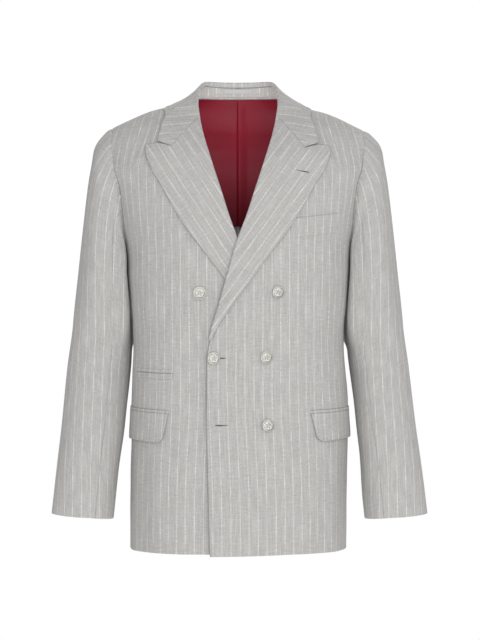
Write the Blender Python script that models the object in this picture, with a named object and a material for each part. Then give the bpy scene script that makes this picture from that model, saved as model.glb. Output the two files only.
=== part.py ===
"""A one-and-a-half breasted blazer, filled out as it is worn, in metres with +Z up.

The wearer's front faces -Y and the wearer's left is +X. The origin is the middle of the neck
base at the height of the inner shoulder, which is where the wearer holds the garment up.

Every panel is a region of one body surface, read by an angle round the body (0 at the middle
of the front, positive towards +X, pi at the middle of the back) and a height. A panel is that
region moved out along the surface and given a wall. Lapels and collar are turned back from
the roll line on a small fold, and the pocket pieces are parts of the front moved out.
"""

import bpy
import numpy as np

# Cloth, in metres
CLOTH = 0.0018  # wall of the fronts, backs and sleeves: cloth with its canvas
TURNED = 0.0020  # wall of the lapels and the collar
TRIM = 0.0012  # wall of welts, flaps and jets
LINING = 0.0010
SEAM = 0.0003  # clear distance where two pieces are sewn
LAYER = 0.0015  # clear distance between loose layers
TRIM_GAP = 0.0008  # clear distance under a pocket piece

# Lengths, as heights below and above the inner shoulder
HEM = -0.713
ARMPIT = -0.240
SHOULDER_TIP = -0.040
NECK_TOP = -0.0050  # the inner end of the shoulder seam
GORGE = -0.031  # where the collar meets the lapel on the roll line
LINING_HEM = -0.194
CUFF = -0.659

# Armhole, seen from the side
ARMHOLE_FRONT = 0.066
ARMHOLE_BACK = 0.072

# The turned-back layer lies this far off the front, and this far where it is covered
TURN_OUT = 0.0046
TURN_COVERED = 0.0033
LAPEL_BELLY = 0.0014  # how much a lapel swells between its roll line and its edge
COLLAR_BELLY = 0.0006  # the same for the collar's front part
COLLAR_LIFT = 0.0002  # the collar's edge lies this much further off than a lapel

# Underlap: the wearer's right front sinks this far to pass under the left one
UNDERLAP_SINK = 0.0068
SINK_START = 0.050  # it starts to sink this far before the left front's edge
SINK_WIDTH = 0.045

# Buttons
BUTTON_RADIUS = 0.0098
BUTTON_HEIGHT = 0.0042
STEM_RADIUS = 0.0024
STEM_HEIGHT = 0.0016
BUTTON_SEGMENTS = 12

COLOURS = {  # name: (linear colour, roughness, metallic)
    "suiting": ((0.50, 0.49, 0.47), 0.85, 0.0),
    "lining": ((0.17, 0.02, 0.03), 0.45, 0.0),
    "tape": ((0.62, 0.58, 0.58), 0.55, 0.0),
    "button": ((0.66, 0.64, 0.58), 0.35, 1.0),
}


def hermite(at, values, where):
    """A smooth curve through (at, values) that doesn't swing past its own rows."""
    at, values = np.asarray(at, float), np.asarray(values, float)
    where = np.clip(np.asarray(where, float), at[0], at[-1])
    step = np.diff(at)
    slope = np.diff(values) / step
    before, after = slope[:-1], slope[1:]
    same_way = before * after > 0
    total = np.where(same_way, before + after, 1.0)
    tangent = np.zeros_like(values)
    tangent[1:-1] = np.where(same_way, 2 * before * after / total, 0.0)
    tangent[0], tangent[-1] = slope[0], slope[-1]
    i = np.clip(np.searchsorted(at, where) - 1, 0, len(at) - 2)
    t = (where - at[i]) / step[i]
    return (
        values[i] * (1 + 2 * t) * (1 - t) ** 2
        + values[i + 1] * t**2 * (3 - 2 * t)
        + step[i] * (tangent[i] * t * (1 - t) ** 2 - tangent[i + 1] * t**2 * (1 - t))
    )


class Table:
    """Rows of named columns; the first column is where the row is, lowest first."""

    def __init__(self, columns, rows):
        self.columns = columns
        self.rows = np.array(sorted(rows))

    def __call__(self, column, where):
        return hermite(self.rows[:, 0], self.rows[:, self.columns.index(column)], where)


# One row for each level of the body that the cloth goes round
BODY = Table(
    ("height", "half_width", "front", "back", "square", "back_rise"),
    (
        (-0.713, 0.1722, 0.138, 0.134, 2.50, 0.0),
        (-0.600, 0.1725, 0.136, 0.132, 2.50, 0.0),
        (-0.500, 0.1712, 0.132, 0.126, 2.45, 0.0),
        (-0.440, 0.1692, 0.128, 0.116, 2.40, 0.0),
        (-0.390, 0.1672, 0.126, 0.110, 2.40, 0.0),
        (-0.354, 0.1670, 0.126, 0.109, 2.40, 0.0),
        (-0.320, 0.1690, 0.129, 0.112, 2.40, 0.0),
        (-0.285, 0.1722, 0.133, 0.118, 2.40, 0.0),
        (-0.240, 0.1780, 0.137, 0.126, 2.40, 0.0),
        (-0.200, 0.1884, 0.136, 0.132, 2.40, 0.0),
        (-0.165, 0.1986, 0.131, 0.134, 2.40, 0.0),
        (-0.135, 0.2080, 0.124, 0.133, 2.40, 0.0),
        (-0.100, 0.2190, 0.112, 0.130, 2.40, 0.0),
        (-0.070, 0.2195, 0.092, 0.123, 2.40, 0.0),
        (-0.050, 0.2102, 0.074, 0.115, 2.35, 0.0),
        (-0.040, 0.2005, 0.064, 0.110, 2.30, 0.0),
        (-0.033, 0.1850, 0.053, 0.106, 2.25, 0.0015),
        (-0.025, 0.1653, 0.044, 0.102, 2.20, 0.0045),
        (-0.016, 0.1410, 0.037, 0.097, 2.20, 0.0100),
        (-0.010, 0.1150, 0.033, 0.092, 2.20, 0.0140),
        (-0.005, 0.0860, 0.030, 0.087, 2.20, 0.0177),
    ),
)

# The wearer's left front edge and roll line; the right one is its mirror image
FRONT_EDGE = Table(
    ("height", "x"),
    (
        (-0.713, -0.0435),
        (-0.680, -0.0446),
        (-0.597, -0.0466),
        (-0.495, -0.0487),
        (-0.411, -0.0487),
        (-0.383, -0.0440),
        (-0.330, -0.0282),
        (-0.279, -0.0139),
        (-0.228, 0.0010),
        (-0.186, 0.0168),
        (-0.143, 0.0307),
        (-0.099, 0.0450),
        (-0.054, 0.0583),
        (-0.021, 0.0650),
        (-0.005, 0.0668),
    ),
)

# The lapel, a row for each line from the roll line to the outer edge, from the break upwards.
# dip is how far the row's middle hangs below the straight line between its ends.
LAPEL = Table(
    ("row", "roll_height", "edge_x", "edge_height", "dip"),
    (
        (0, -0.381, -0.0390, -0.376, 0.0),
        (1, -0.358, -0.0270, -0.353, 0.0),
        (2, -0.330, -0.0085, -0.326, 0.0),
        (3, -0.290, 0.0185, -0.289, 0.0),
        (4, -0.249, 0.0490, -0.246, 0.0),
        (5, -0.211, 0.0780, -0.208, 0.0),
        (6, -0.170, 0.0990, -0.175, 0.002),
        (7, -0.128, 0.1190, -0.138, 0.005),
        (8, -0.088, 0.1360, -0.108, 0.010),
        (9, -0.057, 0.1435, -0.087, 0.017),
        (10, GORGE, 0.1455, -0.072, 0.024),
    ),
)
LAPEL_DIP_AT = 0.50  # share of the row's length where it dips most

# The back of the collar's roll line, from the side of the neck to the middle of the back
COLLAR_ROLL_BACK = (
    (0.0660, 0.004, 0.0095),
    (0.0605, 0.030, 0.0255),
    (0.0505, 0.055, 0.0342),
    (0.0280, 0.072, 0.0354),
    (0.0, 0.076, 0.0354),
)
# The collar, a row for each section from the gorge (0) to the middle of the back (1)
COLLAR = Table(
    ("along", "edge_angle", "edge_height", "inside", "hollow"),
    (
        (0.00, 0.552, -0.0676, 0.0, 0.0),
        (0.10, 0.552, -0.0510, 0.0, 0.0),
        (0.20, 0.590, -0.0370, 0.0, 0.0),
        (0.30, 0.760, -0.0235, 0.0, 0.001),
        (0.36, 1.080, -0.0130, 0.0, 0.002),
        (0.42, 1.380, -0.0095, 0.0, 0.003),
        (0.55, 1.850, -0.0095, 0.002, 0.004),
        (0.70, 2.280, -0.0110, 0.004, 0.002),
        (0.85, 2.720, -0.0130, 0.005, 0.0),
        (1.00, np.pi, -0.0140, 0.005, 0.0),
    ),
)
COLLAR_DIP = 0.0193  # the end of the collar dips to the inner end of the notch
COLLAR_DIP_AT = 0.66
COLLAR_DIP_REACH = 0.22
STAND_STARTS = 4  # the section of the collar where the stand begins
STAND_FIRST_X = 0.071
STAND_GAP = 4 * SEAM  # clear of the neck seam below it and of the fall above it
TAB_LEAST = 0.0004  # the tab inside the fold is never narrower
COLLAR_ON_FRONT = (0.20, 0.42)  # it leaves the front and starts round the neck between these

# Arms, a row for each ring of the sleeve below the armhole
ARM = Table(
    ("height", "x", "y", "half_width", "half_depth"),
    (
        (-0.659, 0.2478, -0.046, 0.0482, 0.0430),
        (-0.580, 0.2405, -0.028, 0.0490, 0.0510),
        (-0.510, 0.2325, -0.008, 0.0490, 0.0580),
        (-0.430, 0.2248, 0.012, 0.0488, 0.0640),
        (-0.360, 0.2184, 0.022, 0.0468, 0.0700),
        (-0.285, 0.2165, 0.014, 0.0398, 0.0770),
    ),
)
ARM_TOP = -0.285  # the first whole ring
CUFF_SLANT = 0.004  # the outer side of a ring is this much above its middle
SLEEVE_LEAVE = 0.115, -0.035, -0.004  # how firmly the sleeve leaves the armhole, by axis
SLEEVE_LEAVE_LESS = 0.86  # the share of it that is lost towards the armpit
SLEEVE_ARRIVE = 0.02, 0.9  # how it comes into the first ring: outwards, and down by the way left
SLEEVE_START = 0.0028  # clear of the body's wall where it is sewn in
SLEEVE_SEAMS = (1.95, 4.10)  # angles of the front and the back sleeve seam, from the outside
SLEEVE_SEAM_TURN = 0.003  # half the angle between the two pieces at a seam
SLEEVE_STEPS = 12, 9, 7, 8  # columns of the two pieces, rows of the cap and of the arm

# Pocket pieces: heights of the top and bottom edge at the inner and the outer end.
# inner_x and outer_x are distances from the middle, and a flap's outer end is an angle.
WELT = {"inner_x": 0.082, "outer_x": 0.1590, "top": (-0.1912, -0.1808), "deep": 0.0305}
FLAPS = {"right": 0.1075, "left": 0.1130}  # inner end at the top
FLAP_TOP, FLAP_DEEP, FLAP_SLANT, FLAP_CORNER = -0.4950, 0.0455, 0.0085, 0.010
FLAP_OUTER_ANGLE = 1.515
JET_DEEP = 0.0050
TICKET = {"inner_x": 0.1015, "outer_x": 0.1590, "top": -0.4305}

# Buttons: x, height, and the layer that each lies on
BUTTONS = {
    "button_upper_right": (-0.0588, -0.3061, "right"),
    "button_upper_left": (0.0624, -0.3049, "left"),
    "button_fastened": (-0.0367, -0.4083, "left"),
    "button_middle_left": (0.0446, -0.4067, "left"),
    "button_lower_left": (0.0471, -0.5122, "left"),
}
HIDDEN_BUTTON = (-0.0300, -0.5122)
HIDDEN_BUTTON_HEIGHT = 0.0024
HIDDEN_STEM_HEIGHT = 0.0006

# Loop for hanging up, inside the collar stand
LOOP_HALF, LOOP_HEIGHTS = 0.0235, (0.0205, 0.0272)
LOOP_SLACK = 0.0010  # it stands this much further off the stand in its middle

# Lining pleat
PLEAT_RISE, PLEAT_RUN, PLEAT_DROP = 0.0022, 0.016, 0.0030
PLEAT_SHARES = (0.05, 0.02, 0.0, -0.008, -0.02)  # columns by the middle, as shares of the half
LINING_SHARE = 0.97  # it stops this far towards the armhole and the shoulder seam
LINING_TOP_GAP = 0.0012

BACK_NECK_FULL = 0.85  # the back neck has its whole height where the cosine is this

# How finely the cloth is cut up
ROWS_SKIRT, ROWS_ARMHOLE, ROWS_SHOULDER = 5, 11, 7
SKIRT_TOP = -0.415
LAPEL_EXTRA_ROWS = (4.5, 5.5, 6.5)
LAPEL_SHARES = (0.17, 0.34, 0.50, 0.67, 0.84, 1.0)
COLLAR_SHARES = (0.22, 0.44, 0.66, 0.83, 1.0)
COLUMNS_FRONT, COLUMNS_BACK = 12, 9
COLUMNS_PANEL = 2 * COLUMNS_BACK - 1  # a back has the collar's columns and one between each
COLLAR_SECTIONS = STAND_STARTS + 2 + COLUMNS_BACK
FOLD_STEPS = 5
SHARP = 0.9  # edges that turn more than this aren't shaded smooth, in radians


def smooth_step(t):
    """0 below 0, 1 above 1, and a soft rise between."""
    t = np.clip(t, 0.0, 1.0)
    return t * t * (3 - 2 * t)


def unit(v):
    return v / np.maximum(np.linalg.norm(v, axis=-1, keepdims=True), 1e-12)


def body(angle, height):
    """The body surface: a rounded ring at each height, deeper behind or in front by the table."""
    angle, height = np.broadcast_arrays(np.asarray(angle, float), np.asarray(height, float))
    s, c = np.sin(angle), np.cos(angle)
    power = 2 / BODY("square", height)
    depth = np.where(c > 0, BODY("front", height), BODY("back", height))
    x = BODY("half_width", height) * np.sign(s) * np.abs(s) ** power
    y = -np.sign(c) * depth * np.abs(c) ** power
    z = height + BODY("back_rise", height) * smooth_step(-c / BACK_NECK_FULL)
    return np.stack([x, y, z], axis=-1)


def body_out(angle, height):
    """The outward direction of the body surface, from small steps round it and up it."""
    step = 0.004
    angle = np.asarray(angle, float)
    height = np.clip(height, HEM + step, NECK_TOP - step)
    round_it = body(angle + step, height) - body(angle - step, height)
    up_it = body(angle, height + step) - body(angle, height - step)
    return unit(np.cross(round_it, up_it))


def lay(angle, height, out=0.0):
    """A point of the body surface moved out."""
    out = np.asarray(out, float)[..., None]
    return body(angle, height) + body_out(angle, height) * out


def angle_of(x, height):
    """The angle of the front point at that x."""
    share = np.clip(np.abs(x) / BODY("half_width", height), 0.0, 1.0)
    return np.sign(x) * np.arcsin(share ** (BODY("square", height) / 2))


def armhole_angle(height, behind):
    """The angle of the front or back edge of the armhole, and of the shoulder seam above it."""
    middle, half = (ARMPIT + SHOULDER_TIP) / 2, (SHOULDER_TIP - ARMPIT) / 2
    share = np.clip((height - middle) / half, -1.0, 1.0)
    reach = (ARMHOLE_BACK if behind else ARMHOLE_FRONT) * np.sqrt(1 - share**2)
    depth = BODY("back" if behind else "front", height)
    turn = np.arcsin(np.clip(reach / depth, 0, 1) ** (BODY("square", height) / 2))
    return np.pi / 2 + turn if behind else np.pi / 2 - turn


def panel_heights():
    """Levels of a body panel: the lapel's own ones, and close together at armhole and shoulder."""
    middle, half = (ARMPIT + SHOULDER_TIP) / 2, (SHOULDER_TIP - ARMPIT) / 2
    roll = LAPEL.rows[:, LAPEL.columns.index("roll_height")]
    low = [*np.linspace(HEM, SKIRT_TOP, ROWS_SKIRT), *roll[roll < ARMPIT], ARMPIT]
    arm = middle - half * np.cos(np.linspace(0, np.pi, ROWS_ARMHOLE))
    top = np.linspace(SHOULDER_TIP, NECK_TOP, ROWS_SHOULDER)
    return np.concatenate([low, arm[1:], top[1:]])


def covered(x, height):
    """1 where the left front covers the right one, 0 well before it."""
    before = x - FRONT_EDGE("x", height) + SINK_START
    return smooth_step(before / SINK_WIDTH)


def sink(x, height):
    """How far the right front has sunk there to pass under the left one."""
    return UNDERLAP_SINK * covered(x, height)


def solid(name, outer, inner, material):
    """A closed wall between two grids of points, with its faces pointing out."""
    rows, columns = outer.shape[:2]
    points = np.concatenate([outer.reshape(-1, 3), inner.reshape(-1, 3)])
    place = np.arange(rows * columns).reshape(rows, columns)
    far = place + rows * columns

    def strip(a, b, c, d):
        return np.stack([a.ravel(), b.ravel(), c.ravel(), d.ravel()], axis=1)

    faces = np.concatenate(
        [
            strip(place[:-1, :-1], place[:-1, 1:], place[1:, 1:], place[1:, :-1]),
            strip(far[:-1, :-1], far[1:, :-1], far[1:, 1:], far[:-1, 1:]),
            strip(place[0, 1:], place[0, :-1], far[0, :-1], far[0, 1:]),
            strip(place[-1, :-1], place[-1, 1:], far[-1, 1:], far[-1, :-1]),
            strip(place[:-1, 0], place[1:, 0], far[1:, 0], far[:-1, 0]),
            strip(place[1:, -1], place[:-1, -1], far[:-1, -1], far[1:, -1]),
        ]
    )
    a, b, c, d = (points[faces[:, k]] for k in range(4))
    volume = np.sum(a * np.cross(b, c)) + np.sum(a * np.cross(c, d))
    if volume < 0:
        faces = faces[:, ::-1]
    mesh = bpy.data.meshes.new(name)
    mesh.from_pydata(points.tolist(), [], faces.tolist())
    mesh.shade_smooth()
    mesh.set_sharp_from_angle(angle=SHARP)
    mesh.materials.append(material)
    made = bpy.data.objects.new(name, mesh)
    bpy.context.scene.collection.objects.link(made)
    return made


def grid_out(grid):
    """The direction across a grid of points, from its own steps."""
    return unit(np.cross(np.gradient(grid, axis=1), np.gradient(grid, axis=0)))


def wall(name, middle, thick, material, out=None):
    """A sheet of cloth: a grid of points with half its thickness on each side."""
    out = grid_out(middle) if out is None else out
    return solid(name, middle + out * thick / 2, middle - out * thick / 2, material)


def body_wall(name, angle, height, middle_out, thick, material):
    """A sheet on the body surface, moved out by middle_out."""
    angle, height = np.broadcast_arrays(angle, height)
    across = body_out(angle, height)
    middle = body(angle, height) + across * np.broadcast_to(middle_out, angle.shape)[..., None]
    return wall(name, middle, thick, material, across)


def mirrored(points):
    return points * np.array([-1.0, 1.0, 1.0])


def front(side, suiting):
    """A front: from its edge and roll line round to the side seam, armhole and shoulder."""
    heights = panel_heights()[:, None]
    inner = angle_of(FRONT_EDGE("x", heights), heights)
    outer = np.where(heights <= ARMPIT, np.pi / 2, armhole_angle(heights, False))
    outer = outer - SEAM / 2 / BODY("half_width", heights)
    angle = inner + (outer - inner) * np.linspace(0, 1, COLUMNS_FRONT)
    if side == "left":
        return body_wall("front_left", angle, heights, 0.0, CLOTH, suiting)
    angle = -angle
    height = np.broadcast_to(heights, angle.shape)
    down = -sink(body(angle, height)[..., 0], height)
    return body_wall("front_right", angle, height, down, CLOTH, suiting)


def back(side, suiting):
    """A back: from the middle seam round to the side seam, armhole and shoulder."""
    heights = panel_heights()[:, None]
    outer = np.where(heights <= ARMPIT, np.pi / 2, armhole_angle(heights, True))
    gap = SEAM / 2 / BODY("half_width", heights)
    angle = np.pi - gap - (np.pi - outer - 2 * gap) * np.linspace(0, 1, COLUMNS_PANEL)
    angle = angle if side == "left" else -angle
    return body_wall(f"back_{side}", angle, heights, 0.0, CLOTH, suiting)


def turned_fold(roll, along, across, away, radius, start):
    """The half-round fold at a roll line: from the layer below, round to the layer above.

    across points from the lower layer to the upper one, away points from the lower layer past
    its edge. It gives the points, their outward directions, and the true direction away.
    """
    past = unit(np.cross(across, along))
    past = past * np.where(np.sum(past * away, axis=-1) < 0, -1, 1)[:, None]
    turns = np.linspace(0, np.pi, FOLD_STEPS)[None, :, None]
    radius, start = np.broadcast_to(radius, len(roll)), np.broadcast_to(start, len(roll))
    up, side = across[:, None], past[:, None]
    points = roll[:, None] + (1 - np.cos(turns)) * up * radius[:, None, None]
    points = points + (start[:, None, None] + np.sin(turns) * radius[:, None, None]) * side
    return points, np.sin(turns) * side - np.cos(turns) * up, past


def dip_shape(share, at, power):
    """A tent over the row: straight up to its foot and softer beyond it."""
    beyond = np.clip((1 - share) / (1 - at), 0, 1) ** power
    return np.where(share < at, share / at, beyond)


def lapel(side, suiting):
    """A peak lapel, turned back from the roll line on to its front."""
    row = np.sort(np.concatenate([LAPEL.rows[:, 0], LAPEL_EXTRA_ROWS]))
    share = np.array(LAPEL_SHARES)[None, :]
    roll_height = LAPEL("roll_height", row)
    roll_x = FRONT_EDGE("x", roll_height)
    shift = -SEAM * smooth_step((row - 8) / 2)
    edge_x, edge_height = LAPEL("edge_x", row), LAPEL("edge_height", row)
    x = roll_x[:, None] + (edge_x - roll_x)[:, None] * share
    z = (roll_height + shift)[:, None] + (edge_height - roll_height)[:, None] * share
    z = z - LAPEL("dip", row)[:, None] * dip_shape(share, LAPEL_DIP_AT, 1.5)
    angle = angle_of(x, z)
    belly = LAPEL_BELLY * np.sin(np.pi * share) * smooth_step(row / 4)[:, None]
    roll_angle = angle_of(roll_x, roll_height + shift)
    away = np.array([-1.0, 0.0, 0.0])
    if side == "left":
        lift, roll_lift = TURN_OUT + belly, np.full(len(row), TURN_OUT)
        below, roll_below = 0.0, 0.0
    else:
        away = -away
        angle, roll_angle = -angle, -roll_angle
        hide = covered(-x, z)
        lift = (TURN_OUT + belly) * (1 - hide) + TURN_COVERED * hide
        roll_hide = covered(-roll_x, roll_height)
        roll_lift = TURN_OUT * (1 - roll_hide) + TURN_COVERED * roll_hide
        below, roll_below = -sink(-x, z), -sink(-roll_x, roll_height)
    sheet = lay(angle, z, below + lift)
    roll = lay(roll_angle, roll_height + shift, roll_below)
    across = body_out(roll_angle, roll_height + shift)
    tangent = np.gradient(roll, axis=0)
    fold, fold_out, _ = turned_fold(roll, tangent, across, away, roll_lift / 2, 2 * SEAM)
    grid = np.concatenate([fold, sheet], axis=1)
    out = np.concatenate([fold_out, body_out(angle, z)], axis=1)
    return wall(f"lapel_{side}", grid, TURNED, suiting, out)


def curve(points, count):
    """count points evenly along a smooth curve through the points."""
    points = np.array(points)
    length = np.linalg.norm(np.diff(points, axis=0), axis=1)
    along = np.concatenate([[0], np.cumsum(length)]) / length.sum()
    even = np.linspace(0, 1, count)
    return np.stack([hermite(along, points[:, k], even) for k in range(3)], axis=1)


def collar_roll(count):
    """The collar's roll line on the wearer's left: up the front edge, then round the neck."""
    heights = np.linspace(GORGE + SEAM, NECK_TOP - 0.002, 4)
    on_front = lay(angle_of(FRONT_EDGE("x", heights), heights), heights)
    return curve(np.concatenate([on_front, COLLAR_ROLL_BACK]), count)


def collar_half(count):
    """Half the collar, from the gorge to the middle of the back.

    It gives the grid of a tab inside, the fold and the fall to its edge, the outward directions,
    and where the stand's top edge comes.
    """
    roll = collar_roll(count)
    along = np.linspace(0, 1, count)
    edge_angle, edge_height = COLLAR("edge_angle", along), COLLAR("edge_height", along)
    edge = lay(edge_angle, edge_height, TURN_OUT + COLLAR_LIFT)
    tangent = np.gradient(roll, axis=0)
    tangent[-1] = (-1.0, 0.0, 0.0)
    fall = unit(edge - roll)
    across = unit(np.cross(fall, tangent))
    across = across * np.where(np.sum(across * (edge * (1, 1, 0)), axis=1) < 0, -1, 1)[:, None]
    leave, left = COLLAR_ON_FRONT
    on_front = 1 - smooth_step((along - leave) / (left - leave))
    roll_height = np.minimum(roll[:, 2], NECK_TOP)
    roll_angle = angle_of(roll[:, 0], roll_height)
    body_across = body_out(roll_angle, roll_height)
    across = unit(across * (1 - on_front)[:, None] + body_across * on_front[:, None])
    start = SEAM + TAB_LEAST
    fold, fold_out, past = turned_fold(roll, tangent, across, -fall, TURN_OUT / 2, start)
    tab = roll + past * (SEAM - COLLAR("inside", along))[:, None]
    top = fold[:, -1]
    share = np.array(COLLAR_SHARES)[None, :]
    hollow = COLLAR("hollow", along)[:, None] * 4 * share * (1 - share)
    part = share[..., None]
    chord = top[:, None] * (1 - part) + edge[:, None] * part
    chord = chord - across[:, None] * hollow[..., None]
    # Near the gorge the rows are straight as seen from the front, beyond it they follow the body
    x = roll[:, :1] + (edge[:, :1] - roll[:, :1]) * share
    z = roll_height[:, None] + (edge_height - roll_height)[:, None] * share
    reach = np.clip(1 - along / COLLAR_DIP_REACH, 0, 1)[:, None] ** 1.5
    dip = COLLAR_DIP * reach * dip_shape(share, COLLAR_DIP_AT, 1.0)
    seen = angle_of(x, z - dip)
    round_it = roll_angle[:, None] + (edge_angle - roll_angle)[:, None] * share
    ahead = 1 - smooth_step((along - 0.10) / 0.15)[:, None]
    flat_angle = seen * ahead + round_it * (1 - ahead)
    flat = lay(flat_angle, z - dip, TURN_OUT + COLLAR_BELLY * np.sin(np.pi * share))
    here = on_front[:, None, None]
    sheet = chord * (1 - here) + flat * here
    grid = np.concatenate([tab[:, None], fold, sheet], axis=1)
    out = grid_out(grid)
    out = out * np.where(np.sum(out[:, -2] * across, axis=-1) < 0, -1, 1)[:, None, None]
    out[:, 1 : 1 + FOLD_STEPS] = fold_out
    out[:, 0] = fold_out[:, 0]
    return grid, out, tab - past * STAND_GAP


def collar(suiting):
    """The collar: its fall turned down all round the neck, and its stand inside."""
    half, out, top = collar_half(COLLAR_SECTIONS)
    grid = np.concatenate([half, mirrored(half[-2::-1])])
    out = np.concatenate([out, mirrored(out[-2::-1])])
    wall("collar_fall", grid, TURNED, suiting, out)
    top = top[STAND_STARTS:]
    first = angle_of(STAND_FIRST_X, NECK_TOP)
    behind = np.linspace(np.pi / 2, np.pi, COLUMNS_BACK)
    angles = np.concatenate([[first, (first + np.pi / 2) / 2], behind])
    neck = body(angles, NECK_TOP)
    climb = unit(neck - body(angles, NECK_TOP - 0.003))
    foot = neck + climb * STAND_GAP
    share = np.linspace(0, 1, 4)[None, :, None]
    stand = foot[:, None] * (1 - share) + top[:, None] * share
    grid = np.concatenate([stand, mirrored(stand[-2::-1])])
    wall("collar_stand", grid, CLOTH, suiting)
    return stand[-1]


def sleeve_grid(round_it):
    """Rings of the left sleeve at the angles round_it: out of the armhole, then down the arm."""
    middle, half = (ARMPIT + SHOULDER_TIP) / 2, (SHOULDER_TIP - ARMPIT) / 2
    s, c = np.sin(round_it), np.cos(round_it)
    height = middle + half * c
    reach = np.where(s > 0, ARMHOLE_FRONT * s, -ARMHOLE_BACK * s)
    depth = np.where(s > 0, BODY("front", height), BODY("back", height))
    square = BODY("square", height)
    turn = np.arcsin(np.clip(reach / depth, 0, 1) ** (square / 2))
    armhole = body(np.where(s > 0, np.pi / 2 - turn, np.pi / 2 + turn), height)
    inner = (1 - c) / 2  # 0 at the shoulder, 1 in the armpit
    out, forward, up = SLEEVE_LEAVE
    leave = [out * (1 - SLEEVE_LEAVE_LESS * inner**2), forward * s, up * inner]
    leave = np.stack(leave, axis=-1)
    armhole = armhole + unit(leave) * SLEEVE_START

    def ring(level):
        x = ARM("x", level) + ARM("half_width", level) * c
        y = ARM("y", level) - ARM("half_depth", level) * s
        return np.stack([x, y, level + CUFF_SLANT * c], axis=-1)

    first = ring(ARM_TOP)
    out, down = SLEEVE_ARRIVE
    arrive = np.stack([out * c, 0 * c, down * (first[:, 2] - armhole[:, 2])], axis=-1)
    rows = []
    for t in np.linspace(0, 1, SLEEVE_STEPS[2])[:-1]:
        rows.append(
            armhole * (1 + 2 * t) * (1 - t) ** 2
            + first * t**2 * (3 - 2 * t)
            + leave * t * (1 - t) ** 2
            - arrive * t**2 * (1 - t)
        )
    rows += [ring(level) for level in np.linspace(ARM_TOP, CUFF, SLEEVE_STEPS[3])]
    return np.array(rows)


def sleeve(side, suiting):
    """A two-piece sleeve: the top sleeve outside and the under sleeve against the body."""
    front_seam, back_seam = SLEEVE_SEAMS
    gap, step = SLEEVE_SEAM_TURN, 0.01
    pieces = {
        "top": np.linspace(back_seam - 2 * np.pi + gap, front_seam - gap, SLEEVE_STEPS[0]),
        "under": np.linspace(front_seam + gap, back_seam - gap, SLEEVE_STEPS[1]),
    }
    whole = np.linspace(0, 2 * np.pi, 181)
    for piece, round_it in pieces.items():
        before, after = sleeve_grid(round_it - step), sleeve_grid(round_it + step)
        out = unit(np.cross(np.gradient(before, axis=0), after - before))
        grid = sleeve_grid(round_it)
        centre = sleeve_grid(whole).mean(axis=1)[:, None]
        out = out * np.where(np.sum(out * (grid - centre), axis=-1) < 0, -1, 1)[..., None]
        if side == "right":
            grid, out = mirrored(grid), mirrored(out)
        wall(f"sleeve_{piece}_{side}", grid, CLOTH, suiting, out)


def lining(material):
    """The half lining across the upper back, on the back's own levels, with a pleat."""
    levels = panel_heights()
    levels = levels[levels > LINING_HEM + 0.005]
    shoulder = levels >= SHOULDER_TIP
    heights = np.concatenate([[LINING_HEM], levels[~shoulder][1::2], levels[shoulder]])
    heights[-1] -= LINING_TOP_GAP
    heights = heights[:, None]
    edge = armhole_angle(heights, True)
    columns = np.linspace(1, 0, COLUMNS_BACK)[2:-1:2]
    share = np.concatenate([[LINING_SHARE], columns, PLEAT_SHARES, -columns[::-1], [-LINING_SHARE]])
    angle = np.pi - (np.pi - edge) * share
    across = body(angle, heights)[..., 0]
    rise = smooth_step(1 - across / PLEAT_RUN) * smooth_step(1 + across / PLEAT_DROP)
    down = -(CLOTH / 2 + LAYER + LINING / 2) - PLEAT_RISE * rise
    body_wall("back_lining", angle, heights, down, LINING, material)


def patch(name, side, inner_x, outer, top, deep, suiting, slant=0.0, corner=0.0, columns=12):
    """A pocket piece on a front: from inner_x round to an angle, deep below its top line.

    The ends of the top line may differ in height, slant moves the lower inner corner outwards
    and corner rounds it.
    """
    share = np.linspace(0, 1, columns)[None, :]
    down = np.linspace(0, 1, 6 if corner else 2)[:, None]
    line = top[0] + (top[1] - top[0]) * share
    height = line - deep * down
    inner = inner_x + slant * down
    if corner:
        left = np.clip((corner - deep * (1 - down)) / corner, 0, 1)
        inner = inner + corner * (1 - np.sqrt(1 - np.minimum(left, 0.98) ** 2))
    start = angle_of(inner, height)
    angle = start + (outer - start) * share
    angle = angle if side == "left" else -angle
    below = 0.0
    if side == "right":
        below = -sink(body(angle, height)[..., 0], height)
    out = below + CLOTH / 2 + TRIM_GAP + TRIM / 2
    return body_wall(name, angle, height, out, TRIM, suiting)


def pockets(suiting):
    """Breast welt, two flaps under their jets, and a jetted ticket pocket."""
    outer = angle_of(WELT["outer_x"], WELT["top"][1])
    patch("breast_welt", "left", WELT["inner_x"], outer, WELT["top"], WELT["deep"], suiting)
    for side, inner_x in FLAPS.items():
        top = (FLAP_TOP, FLAP_TOP)
        patch(
            f"flap_{side}", side, inner_x, FLAP_OUTER_ANGLE, top, FLAP_DEEP, suiting,
            slant=FLAP_SLANT, corner=FLAP_CORNER,
        )
        top = (FLAP_TOP + SEAM + JET_DEEP,) * 2
        patch(f"jet_{side}", side, inner_x - 0.001, FLAP_OUTER_ANGLE, top, JET_DEEP, suiting)
    outer = angle_of(TICKET["outer_x"], TICKET["top"])
    for name, drop in (("upper", 0.0), ("lower", JET_DEEP + 0.0008)):
        top = (TICKET["top"] - drop,) * 2
        patch(
            f"ticket_jet_{name}", "right", TICKET["inner_x"], outer, top, JET_DEEP, suiting,
            columns=7,
        )


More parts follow.
